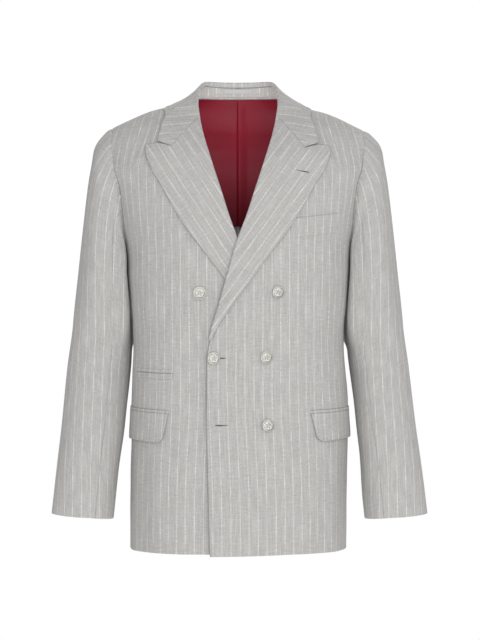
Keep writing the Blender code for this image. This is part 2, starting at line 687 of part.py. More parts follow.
def turned(name, profile, centre, axis, material):
    """A turned piece: its (radius, height) profile spun round the axis, poles closed."""
    axis = unit(np.array(axis))
    side = unit(np.cross(axis, (0.0, 0.0, 1.0)))
    up = np.cross(side, axis)
    turn = np.linspace(0, 2 * np.pi, BUTTON_SEGMENTS, endpoint=False)
    spoke = np.cos(turn)[:, None] * side + np.sin(turn)[:, None] * up
    points = [centre + axis * profile[0][1]]
    for radius, height in profile[1:-1]:
        points.extend(centre + spoke * radius + axis * height)
    points.append(centre + axis * profile[-1][1])
    faces, n = [], BUTTON_SEGMENTS
    last = len(points) - 1
    for k in range(n):
        after = (k + 1) % n
        faces.append((0, 1 + after, 1 + k))
        for ring in range(len(profile) - 3):
            a = 1 + ring * n
            faces.append((a + k, a + after, a + n + after, a + n + k))
        faces.append((last, last - n + k, last - n + after))
    mesh = bpy.data.meshes.new(name)
    mesh.from_pydata([tuple(p) for p in points], [], faces)
    a_volume = sum(
        np.dot(points[f[0]] - centre, np.cross(points[f[i]] - centre, points[f[i + 1]] - centre))
        for f in faces
        for i in range(1, len(f) - 1)
    )
    if a_volume < 0:
        mesh.flip_normals()
    mesh.shade_smooth()
    mesh.set_sharp_from_angle(angle=SHARP)
    mesh.materials.append(material)
    made = bpy.data.objects.new(name, mesh)
    bpy.context.scene.collection.objects.link(made)
    return made


def button_profile(height):
    """Stem, flat back, rounded rim, a shallow channel and a low dome."""
    r, foot = BUTTON_RADIUS, STEM_HEIGHT
    return (
        (0.0, 0.0),
        (STEM_RADIUS, 0.0),
        (STEM_RADIUS, foot),
        (0.92 * r, foot),
        (r, foot + 0.3 * (height - foot)),
        (0.93 * r, foot + 0.75 * (height - foot)),
        (0.70 * r, foot + 0.70 * (height - foot)),
        (0.35 * r, foot + 0.95 * (height - foot)),
        (0.0, height),
    )


def buttons(material):
    """The buttons that show, and the plain one that the overlap hides."""
    for name, (x, height, layer) in BUTTONS.items():
        angle = angle_of(x, height)
        below = -float(sink(x, height)) if layer == "right" else 0.0
        centre = lay(angle, height, below + CLOTH / 2 + SEAM)
        turned(name, button_profile(BUTTON_HEIGHT), centre, body_out(angle, height), material)
    x, height = HIDDEN_BUTTON
    angle = angle_of(x, height)
    centre = lay(angle, height, -UNDERLAP_SINK + CLOTH / 2 + SEAM)
    r, top = BUTTON_RADIUS, HIDDEN_BUTTON_HEIGHT
    profile = (
        (0.0, 0.0),
        (STEM_RADIUS, 0.0),
        (STEM_RADIUS, HIDDEN_STEM_HEIGHT),
        (0.95 * r, HIDDEN_STEM_HEIGHT),
        (r, 0.5 * top),
        (0.90 * r, 0.95 * top),
        (0.0, top),
    )
    turned("button_hidden", profile, centre, body_out(angle, height), material)


def loop(stand, material):
    """The hanging loop: a flat tape across the inside of the collar stand."""
    low, high = stand[0], stand[-1]
    x = np.linspace(-LOOP_HALF, LOOP_HALF, 9)[:, None]
    z = np.array(LOOP_HEIGHTS)[None, :]
    lean = (high[1] - low[1]) / (high[2] - low[2])
    slack = LOOP_SLACK * np.cos(np.pi * x / 2 / LOOP_HALF)
    curve_in = 0.9 * x**2 / (2 * BODY("back", NECK_TOP))
    y = low[1] + lean * (z - low[2]) - CLOTH / 2 - TRIM_GAP - LINING / 2 - slack - curve_in
    grid = np.stack(np.broadcast_arrays(x, y, z), axis=-1)
    wall("hanger_loop", grid, LINING, material)


def finish(name):
    """A plain material of the part's own colour."""
    colour, roughness, metallic = COLOURS[name]
    made = bpy.data.materials.new(name)
    made.use_nodes = True
    shader = made.node_tree.nodes["Principled BSDF"]
    shader.inputs["Base Color"].default_value = (*colour, 1.0)
    shader.inputs["Roughness"].default_value = roughness
    shader.inputs["Metallic"].default_value = metallic
    return made


def build():
    for old in list(bpy.data.objects):
        bpy.data.objects.remove(old, do_unlink=True)
    suiting = finish("suiting")
    for side in ("left", "right"):
        front(side, suiting)
        back(side, suiting)
        sleeve(side, suiting)
        lapel(side, suiting)
    stand = collar(suiting)
    pockets(suiting)
    lining(finish("lining"))
    loop(stand, finish("tape"))
    buttons(finish("button"))


build()
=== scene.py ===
"""Looks of a one-and-a-half breasted blazer in light striped cloth, filled out as it is worn.

Everything is in metres with +Z up. The wearer's front faces -Y and the wearer's left is +X.
Each cloth piece is a grid of points on one body surface, read by an angle round the body
(0 at the middle of the front, pi at the middle of the back) and a height. The grid gets a
wall with rounded edges, a UV map "cloth" in metres of cloth, and a UV map "edge" that holds
the way along its stitched edge and the distance from it.
"""

import bmesh
import bpy
import numpy as np
from bpy.props import FloatProperty, FloatVectorProperty, PointerProperty
from bpy.types import Operator, Panel, PropertyGroup
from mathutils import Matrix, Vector


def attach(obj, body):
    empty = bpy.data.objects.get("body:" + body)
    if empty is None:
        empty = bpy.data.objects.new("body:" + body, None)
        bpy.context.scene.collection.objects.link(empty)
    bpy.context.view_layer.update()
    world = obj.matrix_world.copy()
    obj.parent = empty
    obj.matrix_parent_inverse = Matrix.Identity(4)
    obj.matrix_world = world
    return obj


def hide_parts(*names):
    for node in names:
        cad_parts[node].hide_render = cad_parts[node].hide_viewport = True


bl_info = {
    "name": "One-and-a-half breasted blazer",
    "version": (1, 0, 0),
    "blender": (4, 5, 0),
    "location": "View3D > Sidebar > Blazer",
    "description": "Cloth, lining, buttons and studio of a one-and-a-half breasted blazer",
    "category": "Add Mesh",
}

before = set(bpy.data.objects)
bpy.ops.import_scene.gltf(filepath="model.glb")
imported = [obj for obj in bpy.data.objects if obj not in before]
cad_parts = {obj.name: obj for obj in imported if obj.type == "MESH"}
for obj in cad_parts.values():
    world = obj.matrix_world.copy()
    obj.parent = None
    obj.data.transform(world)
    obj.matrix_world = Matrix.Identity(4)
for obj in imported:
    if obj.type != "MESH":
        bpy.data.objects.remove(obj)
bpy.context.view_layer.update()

# Cloth, in metres
CLOTH = 0.0018
TURNED = 0.0020
TRIM = 0.0012
LINING = 0.0010
SEAM = 0.0003
HAIR = 0.00012  # clear distance where two finished edges meet
LAYER = 0.0015
TRIM_GAP = 0.0008
PATCH_GAP = 0.00025  # pocket pieces lie this close to the front

# Heights below and above the inner shoulder
HEM = -0.713
ARMPIT = -0.240
SHOULDER_TIP = -0.040
NECK_TOP = -0.0050
GORGE = -0.031
LINING_HEM = -0.194
CUFF = -0.659

ARMHOLE_FRONT = 0.066
ARMHOLE_BACK = 0.072
TURN_OUT = 0.0046
TURN_COVERED = 0.0033
LAPEL_BELLY = 0.0014
COLLAR_BELLY = 0.0006
COLLAR_LIFT = 0.0002
COLLAR_CLOSE = 0.0020  # how much closer its edge lies behind the shoulder line
UNDERLAP_SINK = 0.0068
SINK_START = 0.050
SINK_WIDTH = 0.045


def hermite(at, values, where):
    """A smooth curve through (at, values) that doesn't swing past its own rows."""
    at, values = np.asarray(at, float), np.asarray(values, float)
    where = np.clip(np.asarray(where, float), at[0], at[-1])
    step = np.diff(at)
    slope = np.diff(values) / step
    before, after = slope[:-1], slope[1:]
    same_way = before * after > 0
    total = np.where(same_way, before + after, 1.0)
    tangent = np.zeros_like(values)
    tangent[1:-1] = np.where(same_way, 2 * before * after / total, 0.0)
    tangent[0], tangent[-1] = slope[0], slope[-1]
    i = np.clip(np.searchsorted(at, where) - 1, 0, len(at) - 2)
    t = (where - at[i]) / step[i]
    return (
        values[i] * (1 + 2 * t) * (1 - t) ** 2
        + values[i + 1] * t**2 * (3 - 2 * t)
        + step[i] * (tangent[i] * t * (1 - t) ** 2 - tangent[i + 1] * t**2 * (1 - t))
    )


class Table:
    """Rows of named columns; the first column is where the row is, lowest first."""

    def __init__(self, columns, rows):
        self.columns = columns
        self.rows = np.array(sorted(rows))

    def __call__(self, column, where):
        return hermite(self.rows[:, 0], self.rows[:, self.columns.index(column)], where)


BODY = Table(
    ("height", "half_width", "front", "back", "square", "back_rise"),
    (
        (-0.713, 0.1722, 0.138, 0.134, 2.50, 0.0),
        (-0.600, 0.1725, 0.136, 0.132, 2.50, 0.0),
        (-0.500, 0.1712, 0.132, 0.126, 2.45, 0.0),
        (-0.440, 0.1692, 0.128, 0.116, 2.40, 0.0),
        (-0.390, 0.1672, 0.126, 0.110, 2.40, 0.0),
        (-0.354, 0.1670, 0.126, 0.109, 2.40, 0.0),
        (-0.320, 0.1690, 0.129, 0.112, 2.40, 0.0),
        (-0.285, 0.1722, 0.133, 0.118, 2.40, 0.0),
        (-0.240, 0.1780, 0.137, 0.126, 2.40, 0.0),
        (-0.200, 0.1884, 0.136, 0.132, 2.40, 0.0),
        (-0.165, 0.1986, 0.131, 0.134, 2.40, 0.0),
        (-0.135, 0.2080, 0.124, 0.133, 2.40, 0.0),
        (-0.100, 0.2190, 0.112, 0.130, 2.40, 0.0),
        (-0.070, 0.2195, 0.092, 0.123, 2.40, 0.0),
        (-0.050, 0.2102, 0.074, 0.115, 2.35, 0.0),
        (-0.040, 0.2005, 0.064, 0.110, 2.30, 0.0),
        (-0.033, 0.1850, 0.053, 0.106, 2.25, 0.0018),
        (-0.025, 0.1653, 0.044, 0.102, 2.20, 0.0055),
        (-0.016, 0.1410, 0.037, 0.097, 2.20, 0.0122),
        (-0.010, 0.1150, 0.033, 0.092, 2.20, 0.0171),
        (-0.005, 0.0860, 0.030, 0.087, 2.20, 0.0217),
    ),
)
FRONT_EDGE = Table(
    ("height", "x"),
    (
        (-0.713, -0.0435),
        (-0.680, -0.0446),
        (-0.597, -0.0466),
        (-0.495, -0.0487),
        (-0.411, -0.0487),
        (-0.383, -0.0440),
        (-0.330, -0.0282),
        (-0.279, -0.0139),
        (-0.228, 0.0010),
        (-0.186, 0.0168),
        (-0.143, 0.0307),
        (-0.099, 0.0450),
        (-0.054, 0.0583),
        (-0.021, 0.0650),
        (-0.005, 0.0668),
    ),
)
LAPEL = Table(
    ("row", "roll_height", "edge_x", "edge_height", "dip"),
    (
        (0, -0.381, -0.0390, -0.376, 0.0),
        (1, -0.358, -0.0270, -0.353, 0.0),
        (2, -0.330, -0.0085, -0.326, 0.0),
        (3, -0.290, 0.0185, -0.289, 0.0),
        (4, -0.249, 0.0490, -0.246, 0.0),
        (5, -0.211, 0.0780, -0.208, 0.0),
        (6, -0.170, 0.0990, -0.175, 0.002),
        (7, -0.128, 0.1190, -0.138, 0.005),
        (8, -0.088, 0.1360, -0.1100, 0.010),
        (9, -0.057, 0.1432, -0.0905, 0.017),
        (10, GORGE, 0.1450, -0.0775, 0.0272),
    ),
)
LAPEL_DIP_AT = 0.50
SETTLE = Table(
    ("x", "rise"),
    (
        (-0.245, -0.0008),
        (-0.212, -0.0028),
        (-0.180, -0.0010),
        (-0.150, 0.0004),
        (-0.120, 0.0014),
        (-0.085, 0.0),
        (0.080, 0.0),
        (0.120, -0.0014),
        (0.160, -0.0024),
        (0.185, -0.0050),
        (0.205, -0.0062),
        (0.222, -0.0040),
        (0.245, -0.0015),
    ),
)
WIDEN = Table(
    ("height", "left", "right"),
    (
        (-0.713, 0.0, 0.0),
        (-0.600, 0.0006, -0.0008),
        (-0.541, 0.0024, -0.0022),
        (-0.480, 0.0044, -0.0004),
        (-0.430, 0.0026, -0.0006),
        (-0.390, 0.0012, 0.0),
        (-0.355, 0.0026, 0.0012),
        (-0.320, 0.0046, 0.0028),
        (-0.280, 0.0042, 0.0028),
        (-0.250, 0.0026, 0.0010),
        (-0.215, 0.0, 0.0),
        (0.040, 0.0, 0.0),
    ),
)
COLLAR_ROLL_BACK = (
    (0.0660, 0.004, 0.0095),
    (0.0605, 0.030, 0.0255),
    (0.0505, 0.055, 0.0342),
    (0.0280, 0.072, 0.0354),
    (0.0, 0.076, 0.0354),
)
COLLAR = Table(
    ("along", "edge_angle", "edge_height", "inside", "hollow"),
    (
        (0.00, 0.533, -0.0712, 0.0, 0.0),
        (0.10, 0.543, -0.0532, 0.0, 0.0),
        (0.20, 0.590, -0.0378, 0.0, 0.0),
        (0.30, 0.760, -0.0235, 0.0, 0.001),
        (0.36, 1.080, -0.0130, 0.0, 0.002),
        (0.42, 1.380, -0.0095, 0.0, 0.003),
        (0.55, 1.850, -0.0095, 0.002, 0.004),
        (0.70, 2.280, -0.0110, 0.004, 0.002),
        (0.85, 2.720, -0.0130, 0.005, 0.0),
        (1.00, np.pi, -0.0140, 0.005, 0.0),
    ),
)
COLLAR_DIP, COLLAR_DIP_AT, COLLAR_DIP_REACH = 0.0228, 0.655, 0.22
COLLAR_ON_FRONT = (0.20, 0.42)
TAB_LEAST = 0.0004
STAND_FIRST_X = 0.071
STAND_FIRST_SHARE = 4 / 14  # how far round the collar the stand begins
STAND_SIDE_SHARE = 0.2  # the share of the stand that lies before the shoulder seam
ARM = Table(
    ("height", "x", "y", "half_width", "half_depth"),
    (
        (-0.659, 0.2478, -0.046, 0.0482, 0.0430),
        (-0.580, 0.2405, -0.028, 0.0490, 0.0510),
        (-0.510, 0.2325, -0.008, 0.0490, 0.0580),
        (-0.430, 0.2248, 0.012, 0.0488, 0.0640),
        (-0.360, 0.2184, 0.022, 0.0468, 0.0700),
        (-0.285, 0.2165, 0.014, 0.0398, 0.0770),
    ),
)
ARM_TOP = -0.285
CUFF_SLANT = 0.004
SLEEVE_LEAVE = 0.115, -0.035, -0.004
SLEEVE_LEAVE_LESS = 0.86
SLEEVE_ARRIVE = 0.9
SLEEVE_START = 0.0004
SLEEVE_SEAMS = (1.95, 4.10)  # turns round the sleeve
SLEEVE_SEAM_GAP = 0.0010  # half the turn between two pieces at a seam
WELT = {"inner_x": 0.082, "outer_x": 0.1590, "top": (-0.1912, -0.1808), "deep": 0.0305}
FLAPS = {"right": 0.1075, "left": 0.1130}
FLAP_TOP, FLAP_RISE, FLAP_SLANT, FLAP_CORNER = -0.4950, 0.0044, 0.0085, 0.010
FLAP_DEEP = {"right": 0.0455, "left": 0.0435}
FLAP_OUTER_ANGLE = 1.515
JET_DEEP = 0.0050
TICKET = {"inner_x": 0.1015, "outer_x": 0.1590, "top": (-0.4267, -0.4245), "lower": 0.0090}
BUTTONS = {
    "button_upper_right": (-0.0588, -0.3061, "right"),
    "button_upper_left": (0.0624, -0.3049, "left"),
    "button_fastened": (-0.0367, -0.4083, "left"),
    "button_middle_left": (0.0446, -0.4067, "left"),
    "button_lower_left": (0.0471, -0.5122, "left"),
}
BUTTON_TILT = np.array([0.16, 0.0, 0.11])  # how a button leans on its shank
BUTTON_OFF = 0.0010  # its foot clears the cloth although it leans
PAINTED_LIGHT_SIDE = 0.9  # the turn at which a button's face has its brightest painted light
LOOP_HALF, LOOP_HEIGHTS, LOOP_SLACK = 0.0235, (0.0222, 0.0294), 0.0010
PLEAT_RISE, PLEAT_RUN, PLEAT_DROP = 0.0034, 0.018, 0.0016
LINING_SHARE, LINING_TOP_GAP = 0.97, 0.0012
BACK_NECK_FULL = 0.85

# Stripes: where the first one lies, in metres of cloth, for each piece on the wearer's left
# and right. Lapel stripes lean from upright by LAPEL_LEAN, collar ones fall by COLLAR_FALLS.
STRIPES = 0.014
STRIPE_AT = {"left": -0.0031, "right": 0.0065}
LAPEL_STRIPE_AT = {"left": 0.1385, "right": 0.1330}
LAPEL_LEAN = {"left": np.radians(36), "right": np.radians(33)}
COLLAR_FALLS = np.radians(7)
SHOULDER_TURN = 0.022  # stripes bend this far towards the neck over the shoulder
SKIRT_TURN = 0.0065  # and this far outwards down the skirt
SLEEVE_STRIPE_AT = 0.004
BACK_STRIPE_AT = 0.007

# Where the cloth's own facing ends and the lining begins inside, and how full a sleeve head is
FACING_SHARE = 0.44
HEM_FACING = 0.035
CUFF_FACING = 0.036
SLEEVE_POWER = 0.84
SLEEVE_DROP = 0.0012
SLEEVE_FILL = 0.0028
SLEEVE_NEAR = 0.0085
SLEEVE_FRONT = 0.0125
SLEEVE_ROLL = 0.0030
SLEEVE_VALLEY = 0.0022
SLEEVE_SLIMMER = 0.0038
CUFF_SWING = {"left": 0.0030, "right": 0.0018}

# Buttonholes of the left front: x, height, half the length, half the gap, turn from level,
# which end gapes (1 is the one away from the front edge) and whether it lies on the lapel
BUTTONHOLES = {
    "buttonhole_fastened": (-0.0290, -0.4083, 0.0098, 0.00055, 0.0, 1, False),
    "buttonhole_bare": (-0.0258, -0.5125, 0.0098, 0.00060, 0.0, -1, False),
    "buttonhole_lapel": (0.1000, -0.1185, 0.0098, 0.00050, -0.14, 1, True),
}

FLAP_LIFT, FLAP_GAP = 0.0024, 0.0006
HEM_DIP, HEM_DIP_RUN = 0.0030, 0.110
SIDES = ("left", "right")
TURN = 6.2831853
POLE = 3e-6  # points of a turned piece nearer than this are merged
FLOOR = -1.45
CAMERA = (0.003214, -3.8, -0.3487)

# Lights: where each stands, how large it is and what it looks at
CHEST = (0.0, 0.0, -0.36)
LIGHTS = {
    "key": ((1.5, -3.0, 1.3), 2.2, CHEST),
    "fill": ((-2.2, -2.6, 0.1), 2.4, CHEST),
    "front": ((0.3, -4.2, -0.9), 2.2, CHEST),
    "back": ((0.4, 2.8, 1.6), 2.0, CHEST),
    "neck": ((0.0, -0.02, -0.09), 0.12, (0.0, 0.08, 0.035)),
}


def smooth_step(t):
    """0 below 0, 1 above 1, and t*t*(3 - 2t) between."""
    t = np.clip(t, 0.0, 1.0)
    return t * t * (3 - 2 * t)


def bell(value, at, width):
    """exp(-((v - at) / width)^2)."""
    return np.exp(-(((value - at) / width) ** 2))


def signed_power(value, power):
    """sgn(v) |v|^p."""
    return np.sign(value) * np.abs(value) ** power


def joined(*parts):
    """Numbers of the same places side by side, along a last axis of their own."""
    return np.stack(np.broadcast_arrays(*parts), axis=-1)


def between(table, row, column):
    """The value at a place between a table's rows and columns, by its share of both."""
    i = np.clip(row.astype(int), 0, table.shape[0] - 2)
    j = np.clip(column.astype(int), 0, table.shape[1] - 2)
    a, b = np.clip(row - i, 0, 1), np.clip(column - j, 0, 1)
    low = table[i, j] * (1 - b) + table[i, j + 1] * b
    high = table[i + 1, j] * (1 - b) + table[i + 1, j + 1] * b
    return low * (1 - a) + high * a


def unit(v):
    return v / np.maximum(np.linalg.norm(v, axis=-1, keepdims=True), 1e-12)


def mirrored(points):
    return points * np.array([-1.0, 1.0, 1.0])


def body(angle, height):
    """x = w sgn(sin a)|sin a|^(2/q), y = -d sgn(cos a)|cos a|^(2/q), with w, d, q by height."""
    angle, height = np.broadcast_arrays(np.asarray(angle, float), np.asarray(height, float))
    s, c = np.sin(angle), np.cos(angle)
    power = 2 / BODY("square", height)
    depth = np.where(c > 0, BODY("front", height), BODY("back", height))
    x = BODY("half_width", height) * signed_power(s, power)
    y = -depth * signed_power(c, power)
    z = height + BODY("back_rise", height) * smooth_step(-c / BACK_NECK_FULL)
    return joined(x, y, z)


def body_out(angle, height):
    """The outward direction of the body surface: its step round crossed with its step up."""
    step = 0.004
    angle = np.asarray(angle, float)
    height = np.clip(height, HEM + step, NECK_TOP - step)
    round_it = body(angle + step, height) - body(angle - step, height)
    up_it = body(angle, height + step) - body(angle, height - step)
    return unit(np.cross(round_it, up_it))


def relief(angle, height):
    """How worn cloth stands off the body: sine waves down it, deeper and wider at the hem.

    They die away towards the middle seam of the back.
    """
    u = angle * 0.17
    calm = smooth_step((np.pi - np.abs(angle)) / 0.45)
    low = smooth_step((-0.36 - height) / 0.30)
    chest = smooth_step((height + 0.34) / 0.16) * smooth_step((-0.05 - height) / 0.08)
    long_waves = np.sin(2 * np.pi * (u / 0.094 + 0.9 * height) + 0.6)
    side_waves = np.sin(2 * np.pi * (u / 0.061 - 1.7 * height) + 2.2)
    cross_waves = np.sin(2 * np.pi * (height / 0.125 + 2.3 * u) + 1.1)
    fine_waves = np.sin(2 * np.pi * (height / 0.071 - 5.1 * u) + 0.4)
    waist = bell(height, -0.39, 0.06)
    return calm * (
        0.00055 * long_waves * (0.35 + low)
        + 0.00035 * side_waves * (0.35 + 0.65 * low)
        + 0.00028 * cross_waves * (0.4 + chest)
        + 0.00018 * fine_waves * (0.5 + waist)
    )


def lay(angle, height, out=0.0):
    """A point of the body surface with its relief, moved out."""
    out = np.asarray(out, float) + relief(np.asarray(angle, float), height)
    return body(angle, height) + body_out(angle, height) * out[..., None]


def angle_of(x, height):
    """The angle of the front point at that x."""
    share = np.clip(np.abs(x) / BODY("half_width", height), 0.0, 1.0)
    return np.sign(x) * np.arcsin(share ** (BODY("square", height) / 2))


def armhole_angle(height, behind):
    """The angle of the front or back edge of the armhole, and of the shoulder seam above it."""
    middle, half = (ARMPIT + SHOULDER_TIP) / 2, (SHOULDER_TIP - ARMPIT) / 2
    share = np.clip((height - middle) / half, -1.0, 1.0)
    reach = (ARMHOLE_BACK if behind else ARMHOLE_FRONT) * np.sqrt(1 - share**2)
    depth = BODY("back" if behind else "front", height)
    turn = np.arcsin(np.clip(reach / depth, 0, 1) ** (BODY("square", height) / 2))
    return np.pi / 2 + turn if behind else np.pi / 2 - turn


def covered(x, height):
    """1 where the left front covers the right one, 0 well before it."""
    before = x - FRONT_EDGE("x", height) + SINK_START
    return smooth_step(before / SINK_WIDTH)


def sink(x, height):
    """How far the right front has sunk there to pass under the left one."""
    return UNDERLAP_SINK * covered(x, height)


ARC_HEIGHTS = np.linspace(HEM - 0.02, NECK_TOP, 320)
ARC_ANGLES = np.linspace(0, np.pi, 400)


def arc_lengths():
    """Lengths round the body from its front middle, for each of the heights and angles."""
    ring = body(ARC_ANGLES[None, :], ARC_HEIGHTS[:, None])
    step = np.linalg.norm(np.diff(ring, axis=1), axis=-1)
    return np.concatenate([np.zeros((len(ARC_HEIGHTS), 1)), np.cumsum(step, axis=1)], axis=1)


def up_lengths():
    """Lengths up the body from below the hem, for each of the heights, beside the front."""
    line = body(np.full(len(ARC_HEIGHTS), 0.9), ARC_HEIGHTS)
    return np.concatenate([[0], np.cumsum(np.linalg.norm(np.diff(line, axis=0), axis=1))])


ARCS, UPS = arc_lengths(), up_lengths()


def arc(angle, height):
    """The signed length round the body from its front middle, between the table's entries."""
    angle, height = np.broadcast_arrays(np.asarray(angle, float), np.asarray(height, float))
    row = (height - ARC_HEIGHTS[0]) / (ARC_HEIGHTS[1] - ARC_HEIGHTS[0])
    column = np.abs(angle) / (ARC_ANGLES[1] - ARC_ANGLES[0])
    return np.sign(angle) * between(ARCS, row, column)


def front_cloth(side, angle, height):
    """Cloth coordinates on a front: length round it with the stripes' turns, and length up."""
    own = angle if side == "left" else -angle
    over = smooth_step((height + 0.125) / 0.105)
    down = smooth_step((-0.44 - height) / 0.22)
    u = arc(own, height) + SHOULDER_TURN * over - SKIRT_TURN * down - STRIPE_AT[side]
    return joined(u, np.interp(height, ARC_HEIGHTS, UPS))


# Rows near an edge, as shares of the rim, and how thick the wall is there: a quarter circle
RIM_SHARES = np.array([0.0, 0.06, 0.22, 0.50])
RIM_FULL = np.sqrt(1 - (1 - RIM_SHARES) ** 2)


def spaced(count, rim, first=True, last=True):
    """Shares 0 to 1, with closer ones within the rim of each end, and the wall's fullness.

    rim is the rim's share of the whole length, one number or one for each row.
    """
    rim = np.atleast_1d(np.asarray(rim, float))[:, None]
    begin, end = rim * first, rim * last
    shares = begin + np.linspace(0, 1, count)[None, :] * (1 - begin - end)
    full = np.ones(count)
    if first:
        shares = np.concatenate([begin * RIM_SHARES, shares], axis=1)
        full = np.concatenate([RIM_FULL, full])
    if last:
        shares = np.concatenate([shares, 1 - end * RIM_SHARES[::-1]], axis=1)
        full = np.concatenate([full, RIM_FULL[::-1]])
    return shares, full


def levels(count, low, high, rim=0.0012):
    """Heights from low to high, evenly along the shoulder's and the front's own length."""
    fine = np.linspace(low, high, 600)
    turn = joined(fine, BODY("half_width", fine), BODY("front", fine))
    length = np.concatenate([[0], np.cumsum(np.linalg.norm(np.diff(turn, axis=0), axis=1))])
    shares, full = spaced(count, rim / length[-1])
    return np.interp(shares[0] * length[-1], length, fine)[:, None], full[:, None]


def grid_out(grid):
    """The direction across a grid of points, from its own steps."""
    return unit(np.cross(np.gradient(grid, axis=1), np.gradient(grid, axis=0)))


def run(points, axis):
    """Lengths along an axis of a grid of points, from its start."""
    step = np.linalg.norm(np.diff(points, axis=axis), axis=-1)
    zero = np.zeros_like(np.take(step, [0], axis=axis))
    return np.concatenate([zero, np.cumsum(step, axis=axis)], axis=axis)


def edge_map(middle, edges, sewn):
    """For each point the way along its nearest stitched edge and the distance from it.

    edges names some of low, high (rows) and first, last (columns). The first share sewn of
    the low and high ones is a seam, and counts as far away.
    """
    across, up = run(middle, 1), run(middle, 0)
    seam = 0.5 * (np.linspace(0, 1, middle.shape[1]) < sewn)
    choices = {
        "first": (up[:, :1], across),
        "last": (up[:, -1:], across[:, -1:] - across),
        "low": (across[:1], up + seam),
        "high": (across[-1:], up[-1:] - up + seam),
    }
    along = np.broadcast_to(0.0, across.shape)
    away = np.full(across.shape, 0.5)
    for edge in edges:
        way, distance = np.broadcast_arrays(*choices[edge])
        along = np.where(distance < away, way, along)
        away = np.minimum(distance, away)
    return joined(along, away)


def settled(points):
    """Points moved as the worn garment hangs: the shoulders up or down, the sides in or out.

    The rise is a table over x that fades below the chest; the widening is a table over the
    height, fades in towards each side seam and out again across the sleeve. The cuffs swing
    to the wearer's left.
    """
    x, z = points[:, 0], points[:, 2]
    rise = SETTLE("rise", x) * smooth_step((z + 0.16) / 0.10)
    wide = np.where(x > 0, WIDEN("left", z), -WIDEN("right", z))
    wide = wide * smooth_step((np.abs(x) - 0.11) / 0.05) * smooth_step((0.208 - np.abs(x)) / 0.032)
    swing = np.where(x > 0, CUFF_SWING["left"], CUFF_SWING["right"])
    swing = swing * smooth_step((-0.40 - z) / 0.25) * smooth_step((np.abs(x) - 0.172) / 0.04)
    return points + joined(wide + swing, 0 * wide, rise)


def quads(place):
    """Four-cornered faces between the neighbours of a grid of point numbers."""
    corners = [place[:-1, :-1], place[:-1, 1:], place[1:, 1:], place[1:, :-1]]
    return np.stack(corners, axis=-1).reshape(-1, 4)


def closed(place):
    """A grid of point numbers whose first column follows its last one again."""
    return np.concatenate([place, place[:, :1]], axis=1)


def two_sides(rows, columns):
    """Which points of a grid lie inside its border, and the faces of both sides of its wall.

    The far side has points of its own inside the border, numbered after all the near ones.
    """
    inside = np.zeros((rows, columns), bool)
    inside[1:-1, 1:-1] = True
    near = np.arange(rows * columns).reshape(rows, columns)
    far = near.copy()
    far[inside] = rows * columns + np.arange(np.count_nonzero(inside))
    return inside, np.concatenate([quads(near), quads(far)[:, ::-1]])


def make(name, points, faces, uvs, materials, face_material=None):
    """A mesh object from arrays of points, four-cornered faces and UV maps by point."""
    points = settled(points)
    a, b, c, d = (points[faces[:, k]] for k in range(4))
    volume = np.sum(a * np.cross(b, c)) + np.sum(a * np.cross(c, d))
    if volume < 0:
        faces = faces[:, ::-1]
    mesh = bpy.data.meshes.new(name)
    mesh.vertices.add(len(points))
    mesh.vertices.foreach_set("co", points.ravel())
    mesh.loops.add(faces.size)
    mesh.loops.foreach_set("vertex_index", faces.ravel())
    mesh.polygons.add(len(faces))
    mesh.polygons.foreach_set("loop_start", np.arange(len(faces)) * 4)
    mesh.polygons.foreach_set("loop_total", np.full(len(faces), 4))
    mesh.polygons.foreach_set("use_smooth", np.ones(len(faces), bool))
    for material in materials:
        mesh.materials.append(material)
    if face_material is not None:
        mesh.polygons.foreach_set("material_index", face_material)
    for uv_name, uv in uvs.items():
        layer = mesh.uv_layers.new(name=uv_name)
        layer.data.foreach_set("uv", uv[faces.ravel()].ravel())
    mesh.update(calc_edges=True)
    if mesh.validate():
        raise RuntimeError(f"{name}: its mesh wasn't sound")
    made = bpy.data.objects.new(name, mesh)
    bpy.context.scene.collection.objects.link(made)
    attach(made, "root")
    return made


def cloth(
    name, middle, across, thick, full, uv, edges=(), sewn=0.0, lined=None, materials=("suiting",)
):
    """A closed wall of cloth: middle plus and minus across * thick / 2 * full.

    full is 0 on the grid's border, where both sides share their points. lined marks the
    faces whose inner side takes the second material, but for the rim.
    """
    rows, columns = middle.shape[:2]
    half = across * (thick / 2 * np.broadcast_to(full, (rows, columns)))[..., None]
    inside, faces = two_sides(rows, columns)
    points = np.concatenate([(middle + half).reshape(-1, 3), (middle - half)[inside]])
    uvs = {"cloth": uv, "edge": edge_map(middle, edges, sewn)}
    uvs = {key: np.concatenate([v.reshape(-1, 2), v[inside]]) for key, v in uvs.items()}
    face_material = None
    if lined is not None:
        inner = np.array(np.broadcast_to(lined, (rows - 1, columns - 1)), np.int32)
        rim = len(RIM_SHARES)
        inner[:rim], inner[-rim:], inner[:, :rim], inner[:, -rim:] = 0, 0, 0, 0
        face_material = np.concatenate([np.zeros(inner.size, np.int32), inner.ravel()])
    made = make(f"{name}_cloth", points, faces, uvs, [finish(m) for m in materials], face_material)
    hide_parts(name)
    return made


def body_cloth(name, angle, height, out, thick, full, uv, **more):
    """A wall of cloth on the body surface, its middle moved out by out."""
    angle, height = np.broadcast_arrays(angle, height)
    middle = lay(angle, height, np.broadcast_to(out, angle.shape))
    return cloth(name, middle, body_out(angle, height), thick, full, uv, **more)


